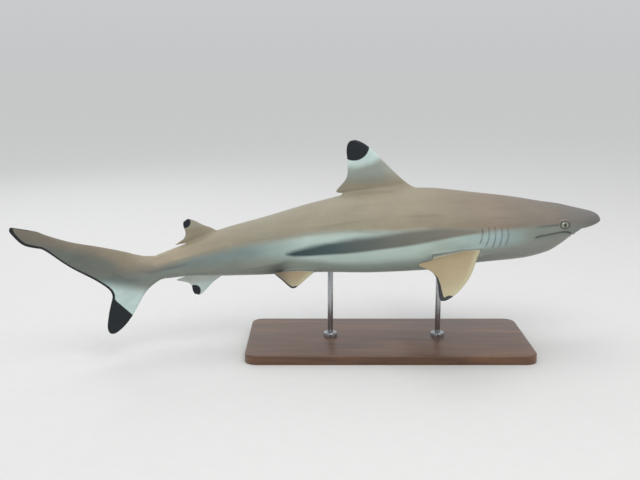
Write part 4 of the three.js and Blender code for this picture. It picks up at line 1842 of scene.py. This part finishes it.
    # ------ features of the head
    def line_gap(self, places: Array, line: Path) -> Array:
        """Distance of each place from a line that both flanks carry.

        Args:
            places: the skin's vertices.
            line: stations and angles of the line.

        Returns:
            The distances in metres.
        """
        even = smooth_path(line)
        lateral, height = self.trunk.section(even[:, 0], even[:, 1])
        paths = (self.trunk.axis.place(even[:, 0], lateral * s.value, height) for s in Side)
        return np.minimum(*(path_distance(places, path) for path in paths))

    def mouth_distance(self, places: Array) -> Array:
        """Distance from the mouth line, positive on the lower jaw.

        Args:
            places: the skin's vertices.

        Returns:
            The distances in metres.
        """
        away = self.line_gap(places, self.mouth.line)
        stations, angle = self.trunk.flank(places)
        line = smooth_path(self.mouth.line)
        order = np.argsort(line[:, 0])
        edge = np.interp(
            stations, line[order, 0], line[order, 1], left=BELOW_ALL, right=BELOW_ALL
        )
        return away * np.where(angle < edge, 1, -1)

    def nostril_places(self, places: Array) -> Array:
        """Places in the nearer nostril's own directions.

        Args:
            places: the skin's vertices.

        Returns:
            (n, 3) offsets along, across and out of the nostril.
        """
        n = self.nostrils
        turn = math.radians(n.slant)
        best = np.full((len(places), 3), 1.0)
        for side in Side:
            middle, forward, aside, out = self.trunk.facing(n.station, n.angle, side)
            along = forward * math.cos(turn) + aside * math.sin(turn)
            across = -forward * math.sin(turn) + aside * math.cos(turn)
            local = (places - middle) @ np.stack([along, across, out], axis=1)
            nearer = np.linalg.norm(local, axis=1) < np.linalg.norm(best, axis=1)
            best[nearer] = local[nearer]
        return best

    def smooth_head(self, places: Array, stations: Array, lateral: Array, height: Array) -> Array:
        """Put the head's vertices exactly on the form, ahead of the paired fins.

        Args:
            places: the skin's vertices.
            stations: their stations.
            lateral: their lateral offsets.
            height: their heights.

        Returns:
            The moved vertices.
        """
        angle = self.trunk.angle(stations, lateral, height)
        side_angle = self.trunk.angle(stations, np.abs(lateral), height)
        share = fall(stations, *self.head_ends)
        above = fall(stations, *self.upper_head_ends) * rise(side_angle, *self.above_pectoral)
        share = np.maximum(share, above)[:, None]
        exact = self.trunk.surface(np.maximum(stations, 1e-4), angle)
        return places * (1 - share) + exact * share

    def gill_relief(self, stations: Array, angle: Array) -> tuple[Array, Array]:
        """Relief of the gill slits and the painted shade in them.

        Args:
            stations: the vertices' stations.
            angle: their angles round the section, as on the left flank.

        Returns:
            Relief in metres, and painted shade from 0 to 1.
        """
        g = self.gills
        relief, dark = np.zeros(len(stations)), np.zeros(len(stations))
        for number, (top, bottom) in enumerate(zip(g.tops, g.bottoms)):
            t = (angle - bottom) / (top - bottom)
            ends = between(t, g.fades)
            middle = g.first + number * g.pitch + g.lean * (t - 0.5)
            middle = middle + g.bow * np.sin(np.pi * np.clip(t, 0, 1))
            behind = (stations - middle) * PERCENT
            slit = bell(np.maximum(behind, -g.front_slope * behind), g.width)
            ramp = np.clip(1 + behind / (g.flap_share * g.pitch * PERCENT), 0, 1) * (behind < 0)
            relief += ends * (g.flap * ramp**2 - g.depth * slit)
            shade = (1 - g.upper_paling * np.clip(t, 0, 1)) * bell(behind, 1.1 * g.width)
            dark = np.maximum(dark, ends * shade)
        ahead = stations < g.ends
        return relief * ahead, g.shade * dark * rise(stations, *g.shade_starts) * ahead

    def mouth_relief(self, places: Array, stations: Array) -> tuple[Array, Array]:
        """Relief of the mouth and its corner furrow, and the painted shade in them.

        Args:
            places: the skin's vertices.
            stations: their stations.

        Returns:
            Relief in metres, and painted shade from 0 to 1.
        """
        m = self.mouth
        relief, dark = np.zeros(len(places)), np.zeros(len(places))
        near = stations < m.ends
        away = self.mouth_distance(places[near])
        jaw = rise(away, -m.jaw_step, m.jaw_step)
        furrow = bell(self.line_gap(places[near], m.furrow), m.furrow_width)
        lip = m.lip * bell(np.abs(away) - m.lip_place, m.lip_width)
        lip = lip * (m.upper_lip_share + (1 - m.upper_lip_share) * jaw)
        inset = m.inset * jaw * bell(away, m.inset_reach)
        groove = m.groove * bell(away, m.groove_width)
        relief[near] = lip - inset - groove - m.furrow_depth * furrow
        line = sum(share * bell(away, width) for share, width in m.line_shades)
        dark[near] = m.shade * np.maximum(line, m.furrow_shade * furrow)
        return relief, dark

    def nostril_relief(self, places: Array, stations: Array) -> tuple[Array, Array]:
        """Relief of the nostrils and the painted shade in their pits.

        Args:
            places: the skin's vertices.
            stations: their stations.

        Returns:
            Relief in metres, and painted shade from 0 to 1.
        """
        n = self.nostrils
        relief, dark = np.zeros(len(places)), np.zeros(len(places))
        near = stations < n.ends
        along, across, out = self.nostril_places(places[near]).T
        on_skin = np.abs(out) < n.skin_reach
        pit = bell(along, n.half_length) * bell(across, n.half_width) * on_skin
        flap = bell(along - n.flap_place[0], n.flap_size[0])
        flap = flap * bell(across - n.flap_place[1], n.flap_size[1])
        relief[near] = n.flap * flap * on_skin - n.depth * pit
        dark[near] = n.shade * np.clip(pit - n.flap_paling * flap, 0, 1)
        return relief, dark

    def tail_creases(self, stations: Array, height: Array) -> tuple[Array, Array]:
        """Where the crease along the tail stalk and the fold above the lower lobe lie.

        Args:
            stations: the vertices' stations.
            height: their heights in percent.

        Returns:
            Shares of the crease and of the fold, from 0 to 1.
        """
        t = self.tail
        flank = (height - table(stations, t.crease)) * PERCENT
        crease = bell(flank, t.crease_width) * between(stations, t.crease_fades)
        fold = np.zeros(len(stations))
        near = within(stations, *t.fold_stations)
        spot = np.stack([stations, height], axis=1)[near]
        fold[near] = bell(path_distance(spot, smooth_path(t.fold, 40)) * PERCENT, t.fold_width)
        return crease, fold

    def tail_relief(self, stations: Array, lateral: Array, height: Array) -> Array:
        """Relief of the pits before the tail fin and of the creases on the tail.

        Args:
            stations: the vertices' stations.
            lateral: their lateral offsets in metres.
            height: their heights in percent.

        Returns:
            Relief in metres.
        """
        t = self.tail
        upper, lower = t.upper_pit, t.lower_pit
        crescent = upper.station + t.pit_bow * (np.abs(lateral) / t.pit_half_width) ** 2
        notch = upper.depth * bell((stations - crescent) * PERCENT, upper.width)
        notch = notch * rise(height, *upper.heights)
        below = lower.depth * bell((stations - lower.station) * PERCENT, lower.width)
        below = below * rise(-height, *lower.heights)
        crease, fold = self.tail_creases(stations, height)
        return -notch - below - t.crease_depth * crease - t.fold_depth * fold

    def keep_inside(self, places: Array) -> Array:
        """Draw the snout's tip back a little and hold the skin within the solids' box.

        Args:
            places: the skin's vertices.

        Returns:
            The moved vertices.
        """
        stations = self.trunk.axis.locate(places)[0]
        ahead = self.trunk.axis.forward(np.array([0.0]))[0]
        drawn = self.snout_drawn * (1 - rise(stations, 0, self.snout_ends))
        low, high = (np.array(corner) for corner in CAD_BOX)
        return np.clip(
            places - np.outer(drawn, ahead), low + self.clearance, high - self.clearance
        )

    def set_lids(self, places: Array) -> tuple[Array, Array]:
        """Draw the skin round each eyeball into thick lids, tucked in behind their edge.

        Args:
            places: the skin's vertices.

        Returns:
            The moved vertices, and how dark each is: the eye's dark rim, with painted shade on the
                lid's edge and round it.
        """
        eyes, lids, dark = self.eyes, self.lids, np.zeros(len(places))
        places = places.copy()
        for side in Side:
            along, upright, out = eyes.local(places, side).T
            ring = eyes.ring(along, upright)
            near = np.flatnonzero((ring < lids.ends) & (np.abs(out) < lids.reach))
            ring, along, upright, out = (part[near] for part in (ring, along, upright, out))
            scale = 1 / np.maximum(ring, 1)
            turn = np.arctan2(upright / eyes.opening_upright, along / eyes.opening_along)
            brow = lids.brow * (0.5 + 0.5 * np.sin(turn))
            lid = eyes.ball_height(along * scale, upright * scale) + lids.thickness + brow
            draw = 1 - rise(ring, *lids.drawn)
            proud = out * lids.form_share + lid * (1 - lids.form_share)
            outer = out * (1 - draw) + np.maximum(lid, proud) * draw
            outer = outer + lids.swell * bell(ring - lids.swell_ring, lids.swell_width)
            outer = outer - lids.furrow * bell(ring - lids.furrow_ring, lids.furrow_width)
            inner = eyes.ball_height(along, upright) - lids.tuck
            tuck = fall(ring, *lids.tucked)
            final = outer * (1 - tuck) + inner * tuck
            places[near] += np.outer(final - out, eyes.basis(side)[3])
            # the eye's dark rim, with painted shade on the lid's edge and round it
            shade = lids.edge_shade * bell(ring - lids.edge_ring, lids.edge_width)
            shade = shade + lids.shade * fall(ring, *lids.shaded)
            dark[near] = np.maximum(dark[near], np.clip(shade, 0, lids.darkest))
        return places, dark

    # ------ markings
    def fin_plane_places(self, places: Array, form: FinForm) -> tuple[Array, Array]:
        """Places of the nearer side's paired fin, in its own plane.

        Args:
            places: the skin's vertices.
            form: the fin.

        Returns:
            (n, 2) places in percent, and offsets across in metres, positive below the fin.
        """
        flat = np.zeros((len(places), 2))
        across = np.full(len(places), 1.0)
        for side in Side:
            origin, chordwise, spanwise, through = form.plane.basis(self.trunk, side)
            past = places - origin
            x, y = past @ chordwise / PERCENT, past @ spanwise / PERCENT
            z = past @ through * side.value
            nearer = (y > -4) & (np.abs(z) < self.fin_tones.across * MM) & within(x, -2, 12)
            flat[nearer] = np.stack([x, y], axis=1)[nearer]
            across[nearer] = z[nearer]
        return flat, across

    def paired_fin_marks(
        self, places: Array, outside: Array, form: FinForm, margin: Path
    ) -> tuple[Array, Array, Array, Array]:
        """Black margin, warm tint, underside share and pale rim of a paired fin.

        Args:
            places: the skin's vertices.
            outside: how far each lies outside the trunk, in millimetres.
            form: the fin.
            margin: width of the black margin in millimetres against the span in percent.

        Returns:
            The four marks.
        """
        tones = self.fin_tones
        flat, across = self.fin_plane_places(places, form)
        on_fin = across < 0.5
        spot = flat[on_fin]
        tip = np.vstack([form.ribs.trailing_path(0.2, 1.0), form.ribs.leading_path(1.0, 0.93)])
        black = np.full(len(places), NO_MARK)
        rim, warm, below = (np.zeros(len(places)) for _ in range(3))
        black[on_fin] = table(spot[:, 1], margin) - path_distance(spot, tip) * PERCENT / MM
        front = path_distance(spot, form.ribs.leading_path(0.15, 1.0)) * PERCENT / MM
        reach = form.ribs.at(1.0)[0][1]
        outer = tones.outer_share * rise(spot[:, 1], tones.outer_starts * reach, reach)
        rim[on_fin] = np.maximum(tones.rim_share * (1 - rise(front, *tones.rim)), outer)
        below[on_fin] = rise(across[on_fin] / MM, *tones.below)
        warm[on_fin] = rise(outside[on_fin] - tones.root_below * below[on_fin], *tones.root)
        return black, warm, below, rim

    @staticmethod
    def past_line(flat: Array, line: Path) -> Array:
        """Distance, in percent, past a line from its start to its end, rearward positive.

        Args:
            flat: (n, 2) stations and heights.
            line: the two ends of the line.

        Returns:
            The distance at each place.
        """
        (ax, ay), (bx, by) = line
        length = math.hypot(bx - ax, by - ay)
        return ((bx - ax) * (flat[:, 1] - ay) - (by - ay) * (flat[:, 0] - ax)) / length

    def tail_black(self, flat: Array) -> Array:
        """Signed distance into the tail fin's black margin.

        Args:
            flat: (n, 2) stations and heights.

        Returns:
            The distances in millimetres, positive inside.
        """
        ribs, m = TAIL_FIN.ribs, self.markings
        black = np.full(len(flat), NO_MARK)
        tail = flat[:, 0] > 76
        spot = flat[tail]
        rear = ribs.trailing_path(TAIL_FIN.lower_tip_share, 1.0, 140)
        margin = table(spot[:, 0], m.tail_margin) - path_distance(spot, rear) * PERCENT / MM
        tip = np.linalg.norm(spot - ribs.at(1.0)[1], axis=1) * PERCENT / MM
        upper = path_distance(spot, ribs.leading_path(0.88, 1.0)) * PERCENT / MM
        lobe = self.past_line(spot, m.lower_lobe_black) * PERCENT / MM
        lobe = np.where(spot[:, 1] < 0, lobe, NO_MARK)
        tips = [m.tail_tip_margin - tip, m.upper_edge_margin - upper]
        black[tail] = np.maximum.reduce([margin, *tips, lobe])
        return black

    def circle_marks(self, flat: Array) -> Array:
        """Signed distance into the black tips of the fins on the midline.

        Args:
            flat: (n, 2) stations and heights.

        Returns:
            The distances in millimetres, positive inside.
        """
        m = self.markings
        tips = (m.first_dorsal_black, m.second_dorsal_black, m.anal_black)
        inside = [(r - np.hypot(flat[:, 0] - x, flat[:, 1] - y)) for x, y, r in tips]
        return np.maximum.reduce(inside) * PERCENT / MM

    def white_marks(self, flat: Array) -> Array:
        """How white the fins are beside their black tips.

        Args:
            flat: (n, 2) stations and heights.

        Returns:
            Shares of white, from 0 to 1.
        """
        m = self.markings
        x, y = flat.T
        dorsal = rise(y - table(x, m.first_dorsal_white), *m.first_dorsal_soft)
        dorsal = np.maximum(dorsal, m.first_dorsal_pale * rise(y, *m.first_dorsal_paling))
        dorsal = dorsal * within(x, *m.first_dorsal_zone) * (y > m.first_dorsal_root)
        small = m.second_dorsal_pale * rise(y, *m.second_dorsal_white)
        small = small * within(x, *m.second_dorsal_zone)
        anal = m.anal_pale * rise(-y, *m.anal_white) * within(x, *m.anal_zone)
        lobe = rise(self.past_line(flat, m.lower_lobe_white), *m.lower_lobe_soft) * (x > 77)
        return np.maximum.reduce([dorsal, small, anal, lobe])

    def dusky(self, flat: Array) -> Array:
        """How grey the first dorsal fin and the tail fin's upper lobe are.

        Args:
            flat: (n, 2) stations and heights.

        Returns:
            Shares of grey, from 0 to 1.
        """
        m = self.markings
        x, y = flat.T
        dorsal = m.first_dorsal_grey * between(y, m.first_dorsal_dusk)
        dorsal = dorsal * rise(x, *m.first_dorsal_dusk_starts) * within(x, *m.first_dorsal_zone)
        tail = m.tail_grey * rise(x, *m.tail_dusk_starts)
        tail = tail * rise(table(x, m.tail_dusk) - y, *m.tail_dusk_soft)
        return np.maximum(dorsal, tail)

    def faint_marks_and_root_shadow(self, places: Array, stations: Array, turn: Array, radius: Array) -> Array:
        """Darkness of the faint lines, the patch and the painted shadow at the pectoral fin's
        root.

        Args:
            places: the skin's vertices.
            stations: their stations.
            turn: their angles round the section.
            radius: millimetres round the body in a degree.

        Returns:
            The darkness, from 0 to 1.
        """
        m = self.markings
        # painted shadow in a thin line along the pectoral fin's root
        near = within(stations, *m.pectoral_root_shadow_zone)
        fold = np.zeros(len(places))
        away = self.line_gap(places[near], m.pectoral_root_shadow)
        fold[near] = m.pectoral_root_shadow_darkness * bell(away, m.pectoral_root_shadow_width)
        past = (turn - table(stations, PELVIC_LINE)) * radius
        patch = m.patch_shade * bell(stations - m.patch_station, m.patch_width)
        patch = patch * fall(past, *m.patch_top) * rise(turn, *m.patch_bottom)
        lines = [line.shade(stations, turn, radius) for line in m.faint_lines]
        return np.maximum.reduce([fold, patch, *lines])

    def mark(self, mesh: bpy.types.Mesh, places: Array, dark: Array) -> None:
        """Write the attributes that the finish reads.

        Args:
            mesh: the skin's mesh.
            places: its vertices before they were moved into folds.
            dark: painted shade in the head's slits, grooves and pits, and the eyes' dark rims, at
                each vertex.
        """
        m = self.markings
        stations, lateral, height = self.trunk.axis.locate(places)
        flat = np.stack([stations, height], axis=1)
        turn = self.trunk.angle(stations, np.abs(lateral), height)
        on_tail = rise(stations, *m.tail_starts)
        turn = turn * (1 - on_tail) + TAIL_TURN * height * on_tail
        radius = np.radians(1) * self.trunk.size(stations, 3) * PERCENT / MM
        skin_side, skin_height = self.trunk.section(stations, turn)
        outside = np.hypot(lateral, height * PERCENT) - np.hypot(skin_side, skin_height * PERCENT)
        outside = outside / MM

        def beyond(line: Path) -> Array:
            """Distance round the body above a line, in millimetres."""
            return (turn - table(stations, line)) * radius

        banded = (stations >= m.band_zone[0]) & (stations <= m.band_zone[1])
        above = np.where(banded, -beyond(m.band_top), NO_MARK)
        pectoral = self.paired_fin_marks(places, outside, PECTORAL, m.pectoral_margin)
        pelvic = self.paired_fin_marks(places, outside, PELVIC, m.pelvic_margin)
        blacks = (self.circle_marks(flat), self.tail_black(flat), pectoral[0], pelvic[0])
        black = np.clip(np.maximum.reduce(blacks), NO_MARK, -NO_MARK)
        warm, below, rim = (np.maximum(a, b) for a, b in zip(pectoral[1:], pelvic[1:]))
        crease, fold = self.tail_creases(stations, height)
        # painted shade in the tail stalk's crease and in the lower lobe's fold
        creases = np.maximum(self.tail.crease_shade * crease, self.tail.fold_shade * fold)
        faint = self.faint_marks_and_root_shadow(places, stations, turn, radius)
        dark = np.maximum.reduce([dark, faint, creases])
        under = rise(-turn, *m.underside) * rise(stations, *m.underside_starts) * (1 - on_tail)
        along = stations * PERCENT
        none = np.zeros(len(places))
        # the middle value of form is the painted shade and the faint dark lines, as darkness from
        # 0 to 1
        write_attribute(mesh, "form", [stations / 100, dark, below])
        write_attribute(mesh, "stripe", [beyond(m.border), above, beyond(m.band_bottom)])
        write_attribute(mesh, "belly", [beyond(m.belly_shade_edge), under, rim])
        write_attribute(mesh, "tips", [black, self.white_marks(flat), warm])
        write_attribute(mesh, "flow", [along, turn * radius * MM, none])
        write_attribute(mesh, "dusk", [self.dusky(flat), none, none])

    # ------ build
    def build(self) -> Piece:
        """Model the skin, cut its folds and write its markings.

        Returns:
            The piece.
        """
        piece = self.start()
        stations = self.loft_body(piece)
        for form in (FIRST_DORSAL, SECOND_DORSAL, ANAL):
            self.grow_fin(piece, stations, form, Side.LEFT)
        for form in (PECTORAL, PELVIC):
            for side in Side:
                self.grow_fin(piece, stations, form, side)
        Bench.finish(piece)
        Bench.modify(piece, "SUBSURF", levels=1, render_levels=1)
        self.refine(piece, self.near_features)
        self.refine(piece, lambda places: self.eye_gap(places) < self.lids.near_eye)
        self.refine(piece, self.on_lids)

        places = corners_of(piece.data)
        places = self.smooth_head(places, *self.trunk.axis.locate(places))
        set_corners(piece.data, places)
        at, lateral, height = self.trunk.axis.locate(places)
        side_angle = self.trunk.angle(at, np.abs(lateral), height)
        normals = normals_of(piece.data)
        gills, gill_shade = self.gill_relief(at, side_angle)
        mouth, mouth_shade = self.mouth_relief(places, at)
        nose, nose_shade = self.nostril_relief(places, at)
        relief = gills + mouth + nose + self.tail_relief(at, lateral, height)
        moved, lid_rim_and_shade = self.set_lids(places + normals * relief[:, None])
        set_corners(piece.data, self.keep_inside(moved))
        # painted shade of the gills, mouth and nostrils, and the eyes' dark rims with their
        # painted shade
        dark = np.maximum.reduce([gill_shade, mouth_shade, nose_shade, lid_rim_and_shade])
        self.mark(piece.data, places, dark)
        Bench.finish(piece)
        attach(piece, BODY)
        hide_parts(*self.replaced)
        return piece

    def dress(self, piece: Piece) -> None:
        """Give the skin its finish."""
        piece.data.materials.append(self.finish.material())


# ------ stand
FLAT = 0.9  # a normal's part along an axis, past which its face counts as square to it


@dataclass
class Stand:
    """Wooden base with two steel rods in collars, sizes in metres."""

    trunk: Trunk
    length: float = 620 * MM
    width: float = 270 * MM
    height: float = 20 * MM
    corner: float = 26 * MM
    bevel: float = 3 * MM
    rod_radius: float = 6 * MM
    rod_socket: float = 18 * MM
    rod_stations: Pair = (28, 46.5)
    collar_radius: float = 15 * MM
    collar_height: float = 9 * MM
    gap: float = 0.3 * MM
    lower_bevel: float = 1 * MM
    rod_chamfer: float = 0.6 * MM
    collar_chamfer: float = 2 * MM
    sides: int = 64
    smooth_angle: float = 35
    screw_radius: float = 2.2 * MM
    screw_length: float = 2 * MM
    screw_sunk: float = 0.7 * MM
    screw_height_share: float = 0.42
    screw_edge: float = 0.35 * MM
    screw_wall: float = 0.7 * MM
    socket_draft: float = 0.02 * MM
    socket_depth: float = 1.2 * MM
    wood: WalnutFinish = field(default_factory=WalnutFinish)
    rod_steel: SteelFinish = field(default_factory=SteelFinish)
    collar_steel: SteelFinish = field(
        default_factory=lambda: SteelFinish("steel_turned", (0.03, 0.03, 1))
    )
    screw_steel: SteelFinish = field(
        default_factory=lambda: SteelFinish("steel_blackened", (1, 1, 1), (52, 52, 55))
    )

    def foot(self, station: float) -> Vector:
        """Belly point above a rod."""
        return Vector(self.trunk.surface(np.array([station]), np.array([-90.0]))[0])

    @staticmethod
    def facing_faces(edge: bmesh.types.BMEdge, test: Callable[[Vector], bool]) -> int:
        """How many faces at an edge have a normal that passes a test."""
        return sum(test(face.normal) for face in edge.link_faces)

    def build_base(self) -> Piece:
        """A plank with rounded corners, an eased lower edge and a moulded upper one.

        Returns:
            The piece.
        """
        Bench.clear()
        bpy.ops.mesh.primitive_cube_add(size=1, location=(0, 0, self.height / 2))
        bpy.context.object.scale = (self.length, self.width, self.height)
        piece = Bench.take("base_walnut")
        Bench.edges(piece, lambda e: abs(e.verts[0].co.z - e.verts[1].co.z) > self.height / 2)
        bpy.ops.mesh.bevel(offset=self.corner, segments=12, affect="EDGES")
        Bench.edges(piece, lambda e: self.facing_faces(e, lambda n: n.z > FLAT) == 1)
        bpy.ops.mesh.bevel(offset=self.bevel, segments=5, affect="EDGES")
        Bench.edges(piece, lambda e: self.facing_faces(e, lambda n: n.z < -FLAT) == 1)
        bpy.ops.mesh.bevel(offset=self.lower_bevel, segments=2, affect="EDGES")
        Bench.finish(piece, smooth_angle=self.smooth_angle)
        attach(piece, BODY)
        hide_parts("stand_base")
        return piece

    def build_rod(self, name: str, middle: Vector) -> Piece:
        """A round rod from the base into the belly.

        Args:
            name: which rod, front or rear.
            middle: belly point above it.

        Returns:
            The piece.
        """
        low, high = self.height + self.gap, middle.z + self.rod_socket
        at = Vector((middle.x, middle.y, (low + high) / 2))
        piece = Bench.cylinder(f"rod_{name}", self.sides, self.rod_radius, high - low, at)
        Bench.edges(piece, lambda e: self.facing_faces(e, lambda n: abs(n.z) > FLAT) == 1)
        bpy.ops.mesh.bevel(offset=self.rod_chamfer, segments=2, affect="EDGES")
        Bench.finish(piece, smooth_angle=self.smooth_angle)
        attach(piece, BODY)
        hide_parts(f"stand_rod_{name}")
        return piece

    def build_collar(self, name: str, middle: Vector) -> Piece:
        """A ring round the rod's foot, chamfered at its upper rim.

        Args:
            name: which rod, front or rear.
            middle: belly point above it.

        Returns:
            The piece.
        """
        low, radius = self.height + self.gap, self.collar_radius
        at = Vector((middle.x, middle.y, low + self.collar_height / 2))
        piece = Bench.cylinder(f"collar_{name}", self.sides, radius, self.collar_height, at)
        Bench.faces(piece, lambda f: abs(f.normal.z) > FLAT)
        bore = self.rod_radius + self.gap
        bpy.ops.mesh.inset(thickness=radius - bore, use_individual=True)
        bpy.ops.mesh.bridge_edge_loops()

        def upper_rim(edge: bmesh.types.BMEdge) -> bool:
            """Whether an edge lies on the collar's outer upper rim."""
            wide = all((v.co - middle).xy.length > 0.95 * radius for v in edge.verts)
            return wide and all(v.co.z > low + 0.9 * self.collar_height for v in edge.verts)

        Bench.edges(piece, upper_rim)
        bpy.ops.mesh.bevel(offset=self.collar_chamfer, segments=3, affect="EDGES")
        Bench.finish(piece, smooth_angle=self.smooth_angle)
        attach(piece, BODY)
        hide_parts(f"stand_collar_{name}")
        return piece

    def build_screw(self, name: str, middle: Vector) -> Piece:
        """A socket set screw in the collar's near side.

        Args:
            name: which rod, front or rear.
            middle: belly point above it.

        Returns:
            The piece.
        """
        z = self.height + self.gap + self.collar_height * self.screw_height_share
        y = middle.y - self.collar_radius + self.screw_sunk
        at = Vector((middle.x, y, z))
        piece = Bench.cylinder(
            f"set_screw_{name}", 24, self.screw_radius, self.screw_length, at, math.pi / 2
        )
        Bench.faces(piece, lambda f: f.normal.y < -FLAT)
        bpy.ops.mesh.inset(thickness=self.screw_edge, depth=0)
        bpy.ops.mesh.inset(thickness=self.screw_wall, depth=0)
        bpy.ops.mesh.inset(thickness=self.socket_draft, depth=-self.socket_depth)
        Bench.finish(piece, smooth_angle=30)
        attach(piece, BODY)
        return piece

    def build(self) -> list[Piece]:
        """Model the base, both rods and their collars.

        Returns:
            Every piece of the stand.
        """
        self.base = self.build_base()
        self.rods, self.collars, self.screws = [], [], []
        for name, station in zip(("front", "rear"), self.rod_stations):
            middle = self.foot(station)
            self.rods.append(self.build_rod(name, middle))
            self.collars.append(self.build_collar(name, middle))
            self.screws.append(self.build_screw(name, middle))
        return [self.base, *self.rods, *self.collars, *self.screws]

    def dress(self) -> None:
        """Give each piece its wood or steel."""
        self.base.data.materials.append(self.wood.material())
        finishes = (self.rod_steel, self.collar_steel, self.screw_steel)
        for pieces, finish in zip((self.rods, self.collars, self.screws), finishes):
            material = finish.material()
            for piece in pieces:
                piece.data.materials.append(material)


# ------ studio
@dataclass(frozen=True)
class Lamp:
    """A soft rectangular light that looks at a target."""

    name: str
    place: tuple[float, float, float]
    size: Pair
    power: float
    colour: tuple[float, float, float]
    target: tuple[float, float, float] = (-0.1, 0.0, 0.24)

    def build(self) -> None:
        """Hang the light."""
        data = bpy.data.lights.new(self.name, "AREA")
        data.shape = "RECTANGLE"
        data.size, data.size_y = self.size
        data.energy = self.power
        data.color = self.colour
        lamp = bpy.data.objects.new(self.name, data)
        bpy.context.scene.collection.objects.link(lamp)
        lamp.location = self.place
        aim = Vector(self.target) - Vector(self.place)
        lamp.rotation_euler = aim.to_track_quat("-Z", "Y").to_euler()


@dataclass
class Studio:
    """Pale floor, soft light and the camera."""

    camera_place: tuple[float, float, float] = (-0.1503, -1.9056, 0.645)
    camera_tilt: float = 78.0
    lens: float = 50.0
    sensor: float = 36.0
    floor_reach: float = 60.0
    floor_colour: Tint = (212, 212, 211)
    horizon: Tint = (198, 199, 201)
    zenith: Tint = (250, 251, 252)
    lamps: tuple[Lamp, ...] = (
        Lamp("key", (0.5, -1.7, 2.6), (2.0, 1.4), 26, (1.0, 0.985, 0.96)),
        Lamp("top", (-0.3, 0.5, 2.8), (2.4, 1.8), 18, (1.0, 0.99, 0.98)),
        Lamp("rear", (-1.6, 2.0, 1.7), (1.6, 1.2), 8, (0.97, 0.985, 1.0)),
    )

    def floor(self) -> None:
        """A wide pale floor under the base."""
        Bench.clear()
        bpy.ops.mesh.primitive_plane_add(size=self.floor_reach, location=(0, 0, 0))
        piece = Bench.take("floor")
        s = Shader("floor_pale")
        grain = s.noise(s.place(), 30, 3)
        tint = s.tone(paint(*self.floor_colour), s.spread(grain, 0.99, 1.01))
        s.set(Base_Color=tint, Roughness=0.7)
        s.bump([(s.noise(s.place(), 600, 2), 0.0002, 0.05)])
        piece.data.materials.append(s.material)
        piece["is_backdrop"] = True

    def sky(self) -> None:
        """A pale surround, lighter overhead than at the horizon."""
        world = bpy.data.worlds.new("surround")
        world.use_nodes = True
        nodes, links = world.node_tree.nodes, world.node_tree.links
        source = nodes.new("ShaderNodeTexCoord")
        split = nodes.new("ShaderNodeSeparateXYZ")
        ramp = nodes.new("ShaderNodeValToRGB")
        links.new(source.outputs["Generated"], split.inputs[0])
        links.new(split.outputs["Z"], ramp.inputs["Fac"])
        links.new(ramp.outputs["Color"], nodes["Background"].inputs["Color"])
        for element, tint in zip(ramp.color_ramp.elements, (self.horizon, self.zenith)):
            element.color = paint(*tint)
        bpy.context.scene.world = world

    def camera(self) -> None:
        """The camera, a little above the animal and looking down at it."""
        data = bpy.data.cameras.new("camera")
        data.lens = self.lens
        data.sensor_width = self.sensor
        data.sensor_fit = "HORIZONTAL"
        made = bpy.data.objects.new("camera", data)
        bpy.context.scene.collection.objects.link(made)
        made.location = self.camera_place
        made.rotation_euler = Euler((math.radians(self.camera_tilt), 0, 0))
        bpy.context.scene.camera = made

    def build(self) -> None:
        """Set up floor, light and camera."""
        self.floor()
        self.sky()
        for lamp in self.lamps:
            lamp.build()
        self.camera()
        bpy.context.scene.view_settings.view_transform = "Standard"


def write_sizes() -> None:
    """Work out the solid model's box beside the finished model's; neither is kept.
    """
    boxes = {
        name: [list(corner) for corner in box]
        for name, box in (("solids", CAD_BOX), ("finished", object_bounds()))
    }


def main() -> None:
    """Build the studio, the animal and its stand, and report each piece."""
    logging.basicConfig(level=logging.INFO, format="%(message)s")
    Studio().build()
    trunk = Trunk(Axis(Pose()))
    eyes = Eyes(trunk)
    eyeballs = eyes.build()
    eyes.dress(eyeballs)
    skin = Skin(trunk, eyes)
    hide = skin.build()
    skin.dress(hide)
    stand = Stand(trunk)
    wood_and_steel = stand.build()
    stand.dress()
    for piece in (*eyeballs, hide, *wood_and_steel):
        piece.data.calc_loop_triangles()
        log.info("%s: %d triangles", piece.name, len(piece.data.loop_triangles))
    write_sizes()


if __name__ == "__main__":
    main()
